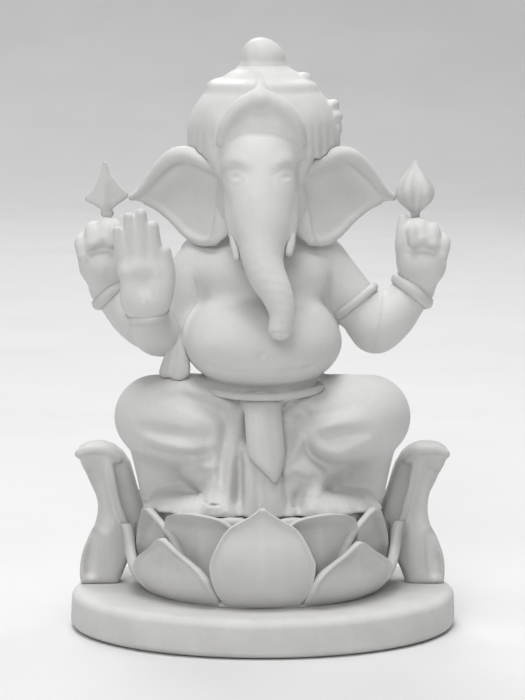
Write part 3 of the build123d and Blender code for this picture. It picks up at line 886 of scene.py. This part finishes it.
def arm_clays():
    """Upper arms and forearms of the three arms that show, each a fleshy tapered limb."""
    clays = {}

    def limb(name, box_low, box_high, points):
        clays[name] = Clay(box_low, box_high, STEP).add(rope(points, 6))

    limb("left_rear_upper_arm", (-62, -14, 100), (-10, 20, 160),
         [(-19, 6, 144, 9.8), (-27, 6, 138, 9.6), (-36, 5, 127, 9.2), (-44.0, 3.5, 118.0, 9.3)])
    limb("left_rear_forearm", (-72, -14, 100), (-30, 18, 142),
         [(-44.0, 3.5, 118.0, 9.2), (-49.5, 3.5, 121.0, 9.1), (-55.5, 4, 127.0, 7.9), (-60.5, 4, 132.5, 6.8)])
    limb("left_front_upper_arm", (-58, -26, 100), (-10, 14, 158),
         [(-20, 0, 145, 9.2), (-27, -2, 139, 9.0), (-33.5, -5, 128, 8.8), (-39.7, -8.8, 117.2, 9.3)])
    limb("left_front_forearm", (-58, -38, 100), (-26, 6, 138),
         [(-39.7, -8.8, 117.2, 9.3), (-42.0, -14.0, 118.4, 9.0), (-43.4, -19.0, 121.8, 7.8),
          (-44.0, -22.8, 127.0, 6.6)])
    limb("right_upper_arm", (10, -14, 100), (62, 18, 158),
         [(18, 3, 145, 9.8), (26.5, 3, 139, 9.2), (35.5, 2, 128, 9.2), (44.2, 1, 117.8, 10.0)])
    limb("right_forearm", (30, -14, 98), (74, 18, 144),
         [(44.2, 1, 117.8, 10.0), (49.6, 1.6, 121.2, 9.6), (55.2, 2.8, 127.2, 8.2), (59.6, 3.6, 133.0, 7.2)])
    return clays


def fist_clay(side):
    """A hand closed on an upright stem: palm mound below, three fingers curled over from behind, thumb up."""
    s = side
    clay = Clay((-78 if s < 0 else 48, -14, 128), (-48 if s < 0 else 78, 18, 166), STEP)

    def finger(points, blend=1.8):
        clay.add(rope([(s * x, y, z, r) for x, y, z, r in points], 5), blend)

    clay.add(egg((s * 62.0, 5.0, 145.5), (9.0, 6.8, 11.5), (0, s * 8, 0)))
    clay.add(egg((s * 62.6, 0.2, 142.0), (8.8, 7.4, 8.4), (0, s * 12, 0)), 3)
    clay.add(egg((s * 67.6, 1.5, 147.6), (4.6, 6.0, 6.6), (0, s * 20, 0)), 2.5)
    clay.add(egg((s * 57.0, 0.0, 143.5), (4.6, 5.2, 7.0)), 2.5)
    clay.add(rope([(s * 60.2, 3.8, 132.5, 6.8), (s * 61.4, 3.6, 139, 7.6)]), 3)
    finger([(60.6, 7, 150, 3.2), (60.6, 5, 155.6, 3.1), (61.2, -1.5, 157.2, 3.0), (61.8, -4.9, 152.2, 2.7)],
           2.2)
    finger([(65.0, 7, 149, 3.2), (65.4, 4.6, 155.0, 3.1), (65.8, -2, 155.2, 3.0), (66.0, -5.0, 150.2, 2.7)],
           2.2)
    finger([(68.4, 6, 145, 3.1), (69.4, 3.4, 150.4, 3.0), (69.8, -2, 149.8, 2.8), (69.0, -4.4, 145.4, 2.5)],
           2.2)
    finger([(56.6, 1, 142, 3.6), (54.4, -2.0, 148.5, 3.1), (54.2, -2.2, 154.5, 2.6),
            (54.6, -1.0, 159.8, 2.1)])
    finger([(58.2, -1.0, 158.0, 2.0), (57.8, -5.0, 155.5, 2.2), (58.2, -6.0, 150.8, 1.9)])
    clay.add(egg((s * 60.5, 1.0, 152.4), (5.0, 6.0, 4.8)), 2)
    clay.cut(egg((s * 63.6, -7.2, 147.8), (3.8, 2.2, 1.1), (0, s * 16, 0)), 1.6)
    return clay


def palm_clay():
    """The raised open hand, palm to the front, fingers together and thumb alongside."""
    clay = Clay((-62, -36, 118), (-30, -14, 170), STEP)
    clay.add(rope([(-44.0, -22.6, 125.5, 6.5), (-44.3, -24.0, 130.5, 7.2)]))
    clay.add(egg((-44.4, -24.6, 137.0), (9.0, 4.5, 12.5)), 3)
    clay.add(egg((-39.8, -26.6, 134.0), (5.2, 3.8, 8.4), (0, -12, 0)), 3)
    clay.add(egg((-49.2, -26.4, 133.6), (4.4, 3.4, 8.6), (0, 8, 0)), 3)
    clay.add(rope([(-51.5, -26.4, 141.6, 2.4), (-46.5, -27.0, 143.0, 2.5), (-41.0, -26.6, 142.2, 2.4)]), 4)
    fingers = [[(-51.8, -25.2, 142, 2.7), (-53.6, -25.8, 149.5, 2.4), (-54.8, -26.8, 157.2, 1.8)],
               [(-48.3, -25.8, 144, 2.8), (-49.6, -26.6, 153.5, 2.6), (-50.3, -28.0, 162.3, 1.95)],
               [(-44.4, -26.0, 144, 2.9), (-45.3, -27.0, 154.5, 2.7), (-45.7, -28.4, 163.6, 2.05)],
               [(-40.6, -25.6, 143, 2.8), (-40.7, -26.4, 151.5, 2.6), (-41.1, -27.6, 159.0, 2.0)]]
    for finger in fingers:
        clay.add(rope(finger, 5), 2.0)
    clay.add(rope([(-38.6, -23.6, 130, 4.0), (-36.4, -24.2, 139.5, 3.5), (-36.8, -25.6, 149.0, 2.4)], 5), 2.0)
    clay.stroke([(-44.6, 140.5, 3.4, -0.4), (-45.0, 136, 3.8, -0.7), (-45.2, 131, 3.4, -0.4)], -20)
    clay.stroke([(-40.6, 142.4, 1.6, -0.3), (-42.4, 137.5, 1.7, -0.5), (-42.0, 130.0, 1.6, -0.3)], -20)
    return clay


FOLD_DEPTH = 1.4


def leg_clay(side):
    """A folded leg in a draped dhoti: thigh out to the knee, calf set back beneath, cloth into the lap."""
    s = side
    clay = Clay((-64 if s < 0 else -2, -40, 46), (2 if s < 0 else 64, 26, 106), STEP)
    clay.add(rope([(s * 10, 3, 82, 14), (s * 25, -6, 83.0, 16.6), (s * 41.0, -11, 84.0, 16.2)]))
    clay.add(egg((s * 30, -13.0, 79.0), (18, 15.5, 14.0)), 5)
    clay.add(egg((s * 13.0, -9.5, 74), (13.5, 13.5, 26)), 6)
    clay.add(rope([(s * 39, -4, 78, 14.2), (s * 38.2, 0, 66, 12.4), (s * 36.5, 1, 54, 11.6)]), 4)
    clay.add(rope([(s * 17, -9, 66, 11.5), (s * 17.5, -13, 57, 10.5), (s * 17.5, -17, 49, 9.0)]), 6)
    clay.add(rope([(s * 24, -12, 70, 9.0), (s * 22.5, -14, 60, 7.0)]), 6)
    clay.add(egg((s * 15, -9, 48.0), (27, 24.5, 3.8)), 4)
    for i in range(6):
        start = (s * (15.5 + 4.6 * i), -15.0 + 0.8 * i, 54.0 - 0.4 * i, 4.2)
        end = (s * (12.5 + 6.3 * i), -34.5 + 0.20 * i + 0.62 * i ** 2, 48.4, 2.5)
        clay.add(rope([start, end]), 2.6)
    clay.add(rope([(s * 11.5, -18, 84, 5.4), (s * 12.6, -20.5, 71, 5.8), (s * 13.6, -23, 58, 6.2),
                   (s * 15.0, -25, 50, 5.6)], 4), 6)
    if s < 0:
        clay.cut(egg((-42.0, -24.0, 61.0), (11.0, 13.0, 6.4), (0, 14, 0)), 5)
        clay.cut(egg((-31.0, -27.0, 56.0), (12.0, 13.0, 4.0), (0, 12, 0)), 4)
        clay.cut(egg((-20.5, -29.0, 53.6), (7.5, 9.0, 1.6), (0, 4, 0)), 2)
        for mark in ([(-31, 98.0, 3, 0.6), (-26.8, 96.6, 3, 1.2), (-19, 94.6, 3, 1.8), (-11.5, 90.6, 3, 1.6)],
                     [(-44, 91.0, 2.8, -0.2), (-35, 92.9, 2.6, -0.8), (-29.3, 92, 2.6, -1.1),
                      (-23.0, 89.4, 2.6, -1.3),
                      (-16.5, 86.5, 2.6, -0.8)],
                     [(-27, 87.2, 3, 0.3), (-21.5, 85.0, 3, 0.9), (-17.5, 80.5, 3, 1.2),
                      (-17.2, 75.5, 3, 0.9)],
                     [(-46, 82.2, 2.2, -0.3), (-42.7, 81.3, 2.3, -0.8), (-35, 80.0, 2.3, -1.1),
                      (-27.4, 79.0, 2.2, -0.7),
                      (-22, 78.6, 2, -0.2)],
                     [(-46, 77.9, 2.3, 0.3), (-42.0, 76.8, 2.3, 0.9), (-38.8, 75.6, 2.4, 1.2),
                      (-31.2, 74.1, 2.4, 1.5),
                      (-26.0, 73.4, 2.3, 1.1), (-20, 74.6, 2, 0.5)],
                     [(-46, 74.0, 1.8, -0.3), (-42.0, 73.0, 1.9, -0.9), (-33.0, 71.4, 1.9, -1.2),
                      (-27.5, 71.0, 1.8, -0.9)],
                     [(-27.0, 69.4, 2.2, 0.9), (-23.5, 67.0, 2.4, 1.5), (-20.0, 67.0, 2.4, 1.2),
                      (-18.0, 70.0, 2.2, 0.7)],
                     [(-14.3, 86.0, 2.6, -0.9), (-13.6, 81.5, 3.0, -1.6), (-14.4, 76.0, 2.4, -0.9),
                      (-15.4, 69, 1.8, -0.8), (-15.8, 62, 1.7, -0.6)],
                     [(-11.0, 75.0, 2.2, 0.6), (-12.0, 68.0, 2.2, 1.3), (-12.8, 60.0, 2.4, 1.5),
                      (-14.0, 52.0, 2.6, 1.3)],
                     [(-9.2, 70.0, 1.6, -0.3), (-9.4, 62.0, 1.7, -0.6), (-9.6, 54.0, 1.8, -0.7)],
                     [(-18.0, 66.0, 2.0, 0.7), (-18.6, 60.0, 2.4, 1.4), (-21.0, 53.5, 2.6, 1.2)]):
            clay.stroke([(x, z, half, FOLD_DEPTH * high) for x, z, half, high in mark])
    else:
        clay.cut(egg((37.0, -24.0, 59.4), (11.5, 13.0, 5.6), (0, -4, 0)), 5)
        clay.cut(egg((29.0, -27.0, 56.4), (6.0, 12.0, 4.6), (0, -20, 0)), 4)
        clay.cut(egg((14.2, -32.5, 54.0), (3.6, 7.0, 7.6), (0, 12, 0)), 3)
        for mark in ([(4, 94.8, 2.8, 1.6), (9, 95.6, 2.8, 1.5), (15, 97.2, 2.8, 1.2), (22, 99.6, 2.6, 0.6)],
                     [(21.5, 96.8, 1.5, -1.1), (23.0, 93.8, 1.5, -0.9), (20.0, 91.0, 1.4, -0.3)],
                     [(12, 91.8, 3.2, 0.6), (17.5, 91.0, 3.2, 1.4), (19.5, 88.5, 2.8, 1.0)],
                     [(9.5, 88.8, 3.0, -0.9), (14.5, 87.0, 3.0, -1.4), (18.5, 85.2, 2.6, -1.3),
                      (24, 86.6, 2.4, -0.9),
                      (29, 88.0, 2.4, -0.5), (35, 90.4, 2.4, -0.2)],
                     [(17.8, 80.5, 3.0, 1.0), (22.5, 82.4, 3.0, 1.2), (30, 84.0, 3.0, 0.8),
                      (38, 85.2, 3.0, 0.3)],
                     [(23.0, 78.6, 1.9, -0.3), (27.0, 79.7, 2.0, -0.9), (33, 80.4, 2.0, -0.8),
                      (39.5, 80.0, 2.2, -0.3)],
                     [(18.6, 77.0, 3.0, 1.2), (22.5, 73.2, 3.0, 1.6), (28.0, 71.8, 3.0, 1.7),
                      (34.0, 73.6, 3.0, 1.2),
                      (40, 76.4, 3.0, 0.6)],
                     [(16.6, 78.5, 1.9, -1.0), (17.4, 73.0, 1.9, -1.4), (21.0, 68.6, 2.0, -1.6),
                      (27, 66.4, 2.2, -1.3),
                      (34, 66.8, 2.4, -0.8), (41, 69.6, 2.6, -0.3)],
                     [(6.8, 63.5, 2.4, 0.8), (10.0, 68.5, 2.5, 1.5), (12.6, 73.0, 2.5, 1.7),
                      (15.0, 77.4, 2.3, 1.1)],
                     [(10.5, 82, 2.6, -0.8), (9.4, 76, 2.2, -0.7), (8.0, 71, 1.8, -0.5)],
                     [(14.5, 67.0, 2.2, 1.0), (19.5, 66.0, 2.4, 1.7), (22.4, 62.2, 2.3, 1.5),
                      (21.4, 56.6, 2.2, 1.0)],
                     [(9.2, 64.0, 1.5, 0.5), (12.6, 65.6, 1.6, 0.8), (17.4, 63.6, 1.5, 0.8)]):
            clay.stroke([(x, z, half, FOLD_DEPTH * high) for x, z, half, high in mark])
    return clay


def foot_clay(side):
    """A low foot that shows from under the cloth, with faint toes towards the middle."""
    s = side
    clay = Clay((-46 if s < 0 else 4, -42, 46), (-4 if s < 0 else 46, -12, 64), STEP)
    if s < 0:
        clay.add(rope([(-37, -16.5, 49.6, 3.6), (-27, -23.0, 50.4, 5.0), (-17.5, -28.0, 50.2, 4.2)], 5, 1.5))
    else:
        clay.add(rope([(38, -15.5, 49.6, 3.8), (28, -22.5, 50.8, 5.2), (18.5, -27.5, 50.6, 4.4)], 5, 1.5))
    for i in range(5):
        start = (s * (17.0 + 0.9 * i), -30.6 + 2.0 * i, 50.0 - 0.1 * i, 1.7 - 0.12 * i)
        end = (s * (12.2 + 1.3 * i), -32.2 + 2.2 * i, 49.8, 1.5 - 0.11 * i)
        clay.add(rope([start, end]), 1.4)
    return clay


def drape_clays():
    """The cloth that falls between the knees, in two layers, and the loose end beside the belly."""
    clays = {}

    def outline(points):
        return through(points, 4, closed=True)

    def hang(x, z):
        over_belly = np.clip((z - 78) / 18, 0, 1)
        return -31.5 + 11.5 * over_belly ** 2 - 0.16 * np.clip(80 - z, 0, 30) + 0.045 * (x + 0.5) ** 2

    upper = outline([(-8.6, 97.5), (-7.0, 88), (-6.2, 78), (-5.2, 71.6), (-1.6, 68.0), (2.0, 64.4),
                     (4.8, 61.6), (7.0, 65),
                     (8.4, 72), (8.0, 80), (7.2, 88), (7.6, 97.5)])
    clay = Clay((-14, -46, 58), (14, -12, 102), STEP)
    clay.add(slab(upper, hang, 8.0, 2.8))
    clay.stroke([(-2.6, 93, 1.6, -0.2), (-2.4, 82, 1.7, -0.45), (-1.4, 72, 1.6, -0.4)])
    clay.stroke([(1.4, 92, 1.7, 0.2), (2.0, 80, 2.0, 0.5), (3.4, 68, 1.8, 0.5)])
    clays["sash_upper"] = clay
    lower = outline([(-6.4, 75), (-7.0, 66), (-6.8, 57), (-7.0, 48), (0, 47), (8.8, 48), (8.6, 55), (7.2, 62),
                     (6.2, 69),
                     (6.0, 75)])
    clay = Clay((-14, -46, 46), (14, -8, 78), STEP)
    clay.add(slab(lower, lambda x, z: -26.0 - 0.17 * (75 - z) + 0.03 * x * x, 13.0, 2.4))
    clay.stroke([(-4.6, 70, 1.5, 0.3), (-4.8, 60, 1.7, 0.8), (-4.8, 50, 1.8, 0.9)])
    clay.stroke([(-1.8, 68, 1.5, -0.4), (-1.2, 59, 1.7, -0.9), (-0.8, 50, 1.8, -0.9)])
    clay.stroke([(4.4, 60, 1.6, 0.4), (5.2, 54, 1.8, 0.8), (5.8, 49, 1.8, 0.8)])
    clays["sash_lower"] = clay
    tail = outline([(-35.8, 122.5), (-32.0, 123.0), (-30.0, 115), (-28.0, 106), (-28.4, 100.5), (-33.4, 98.6),
                    (-39.6, 100.6), (-38.0, 107.6), (-36.4, 114)])
    clay = Clay((-44, -26, 94), (-22, -2, 126), STEP)
    clay.add(slab(tail, lambda x, z: -11.5 - 0.12 * (122 - z), 6.0, 2.0))
    clay.stroke([(-34.4, 119, 1.2, -0.3), (-34.6, 108, 1.3, -0.9), (-36.0, 100, 1.4, -0.9)])
    clay.stroke([(-32.2, 117, 1.2, 0.2), (-31.4, 107, 1.4, 0.7), (-31.6, 99, 1.5, 0.7)])
    clays["sash_tail"] = clay
    return clays


def crown_clay():
    """A domed crown in two tiers, with a pressed brim and small bosses over the temples."""
    clay = Clay((-36, -32, 178), (36, 36, 222), STEP)
    _, y0, _ = mid("crown")
    clay.add(egg((0.3, y0, 192.6), CROWN_DOME))
    clay.add(egg((0.3, y0, 185.0), (28.7, 26.0, 26.0)), 2)
    tier = [(19.6 * math.cos(a), y0 + 18.2 * math.sin(a), 210.4, 1.5) for a in np.linspace(0, 2 * math.pi,
                                                                                           33)]
    clay.add(rope(tier, 1), 3.0)
    clay.add(egg((0.0, y0, 207.6), (20.6, 19.2, 9.2)), 2.5)
    clay.add(egg((0.5, y0, 213.0), (13.5, 13.0, 6.0)), 4)
    clay.add(egg((16.4, y0 - 2, 213.8), (2.8, 3.6, 2.4), (0, 35, 0)), 1.4)
    clay.add(egg((-18.2, y0 - 1, 211.6), (3.4, 4.4, 1.9), (0, -22, 0)), 1.6)
    for x, z, r in ((27.6, 204.0, 2.0), (28.6, 199.4, 2.4), (28.4, 194.4, 2.3), (27.6, 189.6, 2.1)):
        clay.add(egg((x, y0 - 3.0, z), (r, r * 1.7, r)), 2.2)
    clay.d = np.maximum(clay.d, 183.4 - clay.axes()[2])
    for side in (-1, 1):
        for x, depth in ((16.6, 0.4), (19.4, 0.7), (22.4, 0.8), (25.2, 0.7)):
            clay.stroke([(side * x, 198, 1.0, -0.1), (side * (x + 0.5), 192, 1.1, -depth),
                         (side * (x + 0.6), 184, 1.1, -depth)],
                        8.0)
        clay.stroke([(side * 17.0, 205.0, 3.2, 0.2), (side * 19.0, 198.0, 2.8, 0.9),
                     (side * 20.6, 189, 2.4, 0.9)], 4.0)

    def flutes(x, y, z):
        around = np.arctan2(y - y0, x)
        behind = np.clip((y - 2) / 6, 0, 1) * np.clip((198 - z) / 3, 0, 1)
        return 0.45 * behind * np.abs(np.cos(16 * around))

    return clay.swell(flutes)


def crest_clay():
    """The arched hood over the brow: a thick soft border round a sunk panel, with a blade up its middle."""
    clay = Clay((-22, -40, 184), (22, -2, 220), STEP)
    _, y0, _ = mid("crown")

    def shell(x, z, lift):
        inside = 1 - (x / CROWN_DOME[0]) ** 2 - ((z - 192.6) / CROWN_DOME[2]) ** 2
        return y0 - CROWN_DOME[1] * np.sqrt(np.maximum(inside, 0)) - lift

    def edge(x, z, lift, r):
        return (x, float(shell(np.array(x), np.array(z), lift)), z, r)

    arch = [(-16.2, 190.0, 1.4), (-14.0, 196.2, 2.4), (-9.6, 202.0, 3.2), (-4.8, 205.2, 3.6),
            (-0.8, 206.2, 3.6),
            (3.4, 205.2, 3.6), (8.6, 202.2, 3.2), (13.0, 196.4, 2.4), (15.2, 190.0, 1.4)]
    panel = through([(x, z) for x, z, _ in arch] + [(8.0, 191.5), (-0.5, 192.5), (-9.0, 191.5)], 3,
                    closed=True)
    clay.add(slab(panel, lambda x, z: shell(x, z, -1.0), 2.4, 0.8))
    clay.add(rope([edge(x, z, 0.9, r) for x, z, r in arch], 5), 3.0)
    clay.add(rope([edge(-0.8, 206, 2.4, 2.6), edge(-0.9, 210.0, 1.6, 2.0), edge(-1.0, 214.6, 0.6, 1.1)], 5),
             3.0)
    return clay


def topknot_clay():
    """A squat round bun with a softly pressed band at its foot."""
    clay = Clay((-12, -12, 210), (12, 16, 231), STEP)
    x0, y0, _ = mid("topknot")
    top = high("topknot")[2]
    clay.add(egg((x0 + 0.2, y0, top - 8.2), (8.6, 8.4, 8.2)))
    clay.add(rope([(x0 + 0.3, y0, 213, 7.6), (x0 + 0.3, y0, 216.5, 7.9), (x0 + 0.3, y0, 219.5, 7.6)]), 2)
    clay.add(egg((x0 - 1.5, y0 - 1, top - 5.4), (5.2, 5.4, 5.2)), 3)

    def twist(x, y, z):
        around = np.arctan2(y - y0, x - x0)
        return 0.10 * np.cos(9 * around + (z - 215) / 3.2) * np.clip((top - z) / 5, 0, 1)

    return clay.swell(twist)


def goad_clay():
    """The emblem in the left fist: a leaf-shaped blade with a midrib, on a collared stem."""
    x = mid("goad")[0] + 0.1
    y = mid("goad")[1]
    top = high("goad")[2]
    clay = Clay((x - 12, y - 8, 146), (x + 12, y + 8, top + 3), STEP)
    blade = through([(-0.9, top + 0.2), (-2.4, 177.6), (-5.2, 171.6), (-8.8, 167.2), (-5.4, 165.0),
                     (-1.6, 163.0),
                     (1.6, 163.2), (4.8, 165.6), (8.3, 168.6), (4.6, 173.2), (1.0, 177.8)], 3, closed=True)
    outline = [(x + dx, z) for dx, z in blade]
    clay.add(slab(outline, y, lambda px, pz: 4.4 - 0.24 * np.abs(px - x) + 0 * pz, 0.8))
    clay.add(rope([(x, y - 1.7, 165, 0.9), (x - 0.2, y - 1.7, 173, 0.8), (x - 0.7, y - 0.8, 180, 0.4)]), 1.0)
    clay.add(rope([(x, y, 149, 1.8), (x, y, 163, 1.7), (x, y, 166, 2.0)]), 1.2)
    clay.add(rope([(x - 1.4, y, 161.6, 1.3), (x + 1.4, y, 161.6, 1.3)]), 0.8)
    return clay


def bud_clay():
    """The emblem in the right fist: a lotus bud of overlapping pointed leaves."""
    x = mid("lotus_bud")[0]
    y = mid("lotus_bud")[1]
    top = high("lotus_bud")[2]
    clay = Clay((x - 11, y - 11, 146), (x + 11, y + 11, top + 3), STEP)
    clay.add(rope([(x, y, 167.4, 4.6), (x, y, 171.4, 5.4), (x, y, 176.2, 3.4), (x, y, 180.6, 1.0)], 4))
    for i in range(5):
        a = 2 * math.pi * i / 5 + 0.35
        c, s = math.cos(a), math.sin(a)
        leaf = [(x + 2.0 * c, y + 2.0 * s, 164.4, 1.9), (x + 5.4 * c, y + 5.4 * s, 168.6, 2.5),
                (x + 4.6 * c, y + 4.6 * s, 173.0, 2.1), (x + 1.6 * c, y + 1.6 * s, 178.6, 1.1),
                (x + 0.2 * c, y + 0.2 * s, top - 0.6, 0.5)]
        clay.add(rope(leaf, 4), 0.5)
    clay.add(rope([(x, y, 149, 1.8), (x, y, 161, 1.8), (x, y, 164.5, 2.4)]), 1.2)
    return clay


def band_clay(centre, axis, radius, thick, wide):
    """A bracelet: a ring square to the arm, of wide oval section, edged with two cords."""
    axis = Vector(axis).normalized()
    one = axis.orthogonal().normalized()
    two = axis.cross(one)
    reach = radius + thick + wide + 2
    clay = Clay([c - reach for c in centre], [c + reach for c in centre], STEP)
    for shift, r in ((-wide, thick * 0.62), (0.0, thick), (wide, thick * 0.62)):
        ring = []
        for a in np.linspace(0, 2 * math.pi, 29):
            p = Vector(centre) + shift * axis + radius * (math.cos(a) * one + math.sin(a) * two)
            ring.append((*p, r))
        clay.add(rope(ring, 1), 0.5)
    return clay


def belt_clay():
    """The rolled waistband of the dhoti, which dips under the belly and rises over the hips."""
    clay = Clay((-34, -40, 86), (34, 26, 106), STEP)
    ring = []
    for a in np.linspace(0, 2 * math.pi, 73):
        dip = 0.5 - 0.5 * math.sin(a)
        ring.append((25.4 * math.cos(a), -4.4 + 24.6 * math.sin(a), 97.6 - 3.6 * dip ** 2, 1.5))
    return clay.add(rope(ring, 1))


def figure_clays():
    clays = {"torso": torso_clay(), "head": head_clay(), "left_leg": leg_clay(-1), "right_leg": leg_clay(1),
             "left_ear": ear_clay(-1), "right_ear": ear_clay(1), "left_foot": foot_clay(-1),
             "right_foot": foot_clay(1), "left_fist": fist_clay(-1), "right_fist": fist_clay(1),
             "open_hand": palm_clay(), "crown": crown_clay(), "crown_crest": crest_clay(),
             "topknot": topknot_clay(), "goad": goad_clay(), "lotus_bud": bud_clay(), "belt": belt_clay(),
             "left_tusk": tusk_clay(-1, (-9.7, -34.4, 147.2), 1.1),
             "right_tusk": tusk_clay(1, (9.9, -33.8, 149.4), 1.5),
             **arm_clays(), **drape_clays()}
    clays["left_rear_bracelet"] = band_clay((-59.6, 4, 131.0), (-1, 0, 0.95), 7.4, 1.7, 1.3)
    clays["left_front_bracelet"] = band_clay((-43.9, -22.2, 126.4), (-0.1, -0.6, 1.0), 7.3, 1.5, 1.2)
    clays["right_bracelet"] = band_clay((58.4, 3.4, 131.4), (0.9, 0.1, 1.1), 8.0, 1.9, 1.4)
    clays["right_armlet"] = band_clay((36.0, 2.0, 127.2), (0.8, -0.1, -1.0), 9.9, 1.3, 0.9)
    return clays


FLESH_BLENDS = {
    ("torso", "left_rear_upper_arm"): 6, ("torso", "left_front_upper_arm"): 6,
                ("torso", "right_upper_arm"): 6,
    ("left_rear_upper_arm", "left_rear_forearm"): 3, ("left_front_upper_arm", "left_front_forearm"): 3,
    ("right_upper_arm", "right_forearm"): 3, ("left_rear_forearm", "left_fist"): 2,
    ("left_front_forearm", "open_hand"): 2, ("right_forearm", "right_fist"): 2, ("torso", "head"): 2,
    ("left_rear_upper_arm", "left_front_upper_arm"): 1.5, ("torso", "left_leg"): 1.5,
                ("torso", "right_leg"): 1.5,
    ("head", "left_ear"): 1.2, ("head", "right_ear"): 1.2, ("left_leg", "right_leg"): 3,
    ("head", "crown"): 1.4, ("head", "crown_crest"): 1.4, ("crown", "crown_crest"): 1.6,
                ("crown", "topknot"): 3.5,
    ("left_leg", "sash_lower"): 4, ("right_leg", "sash_lower"): 4, ("left_leg", "sash_upper"): 3.5,
    ("right_leg", "sash_upper"): 3.5, ("left_leg", "left_foot"): 5, ("right_leg", "right_foot"): 5,
}
ELBOWS = {
    ("left_rear_upper_arm", "left_rear_forearm"): ((-44.0, 3.5, 118.0), (-1.0, 0, -0.25)),
    ("left_front_upper_arm", "left_front_forearm"): ((-39.7, -8.8, 117.2), (-0.55, -0.83, -0.4)),
    ("right_upper_arm", "right_forearm"): ((44.2, 1.0, 117.8), (1.0, 0.05, -0.2)),
    ("left_leg", "right_leg"): ((0, 0, 0), (1.0, 0, 0)),
}
OVERLAYS = ["belt", "left_rear_bracelet", "left_front_bracelet", "right_bracelet", "right_armlet",
            "crown_crest",
            "topknot", "left_tusk", "right_tusk", "goad", "lotus_bud", "sash_upper", "sash_lower",
            "sash_tail",
            "left_foot", "right_foot"]


def border_between(name, other, mine, its, clay):
    """Distance past the shared border towards the other piece, or None where the other gives way."""
    for pair, (point, normal) in ELBOWS.items():
        if {name, other} == set(pair):
            x, y, z = clay.axes()
            normal = Vector(normal).normalized()
            past = (x - point[0]) * normal.x + (y - point[1]) * normal.y + (z - point[2]) * normal.z
            return past if name == pair[0] else -past
    blended = (name, other) in FLESH_BLENDS or (other, name) in FLESH_BLENDS
    if blended or (name in OVERLAYS) == (other in OVERLAYS):
        return (mine - its) / 2
    return -its if name in OVERLAYS else None


def sculpt_figure():
    """Neighbours that flow into each other share one skin, and dip under each other at the border.

    Others end a hair short of the border that they share.
    """
    clays = figure_clays()
    slots = {entry["node"]: entry["material_slot"] for entry in frame["record"]["subparts"]}
    raw = {name: clay.d.copy() for name, clay in clays.items()}
    seat = high("lotus_core")[2]
    for name, clay in clays.items():
        flanges = []
        whole, borders = raw[name].copy(), [seat + SEAM - clay.axes()[2]]
        for other, other_clay in clays.items():
            if other == name:
                continue
            its = other_clay.seen_on(clay, raw[other])
            if not (its < 3).any():
                continue
            blend = FLESH_BLENDS.get((name, other)) or FLESH_BLENDS.get((other, name))
            if blend:
                whole = soft_union(whole, its, blend)
            border = border_between(name, other, raw[name], its, clay)
            if border is None:
                continue
            if blend:
                flanges.append(border)
            else:
                borders.append(border + SEAM)
        for flange in flanges:
            whole = np.maximum(whole + 0.7 * np.maximum(flange, 0), flange - 1.3 * STEP)
        for border in borders:
            whole = np.maximum(whole, border)
        clay.d = whole
        clay_piece(name, clay, slots[name])


# ---------------------------------------------------------------- make everything

make_studio()
make_plinth()
make_lotus_core()
make_petals()
make_posts()
sculpt_figure()
finish_cad_node("base_felt", "felt")
for pin in ("centre_rod", "post_pins", "ear_pins", "shoulder_pins"):
    finish_cad_node(pin, "steel")
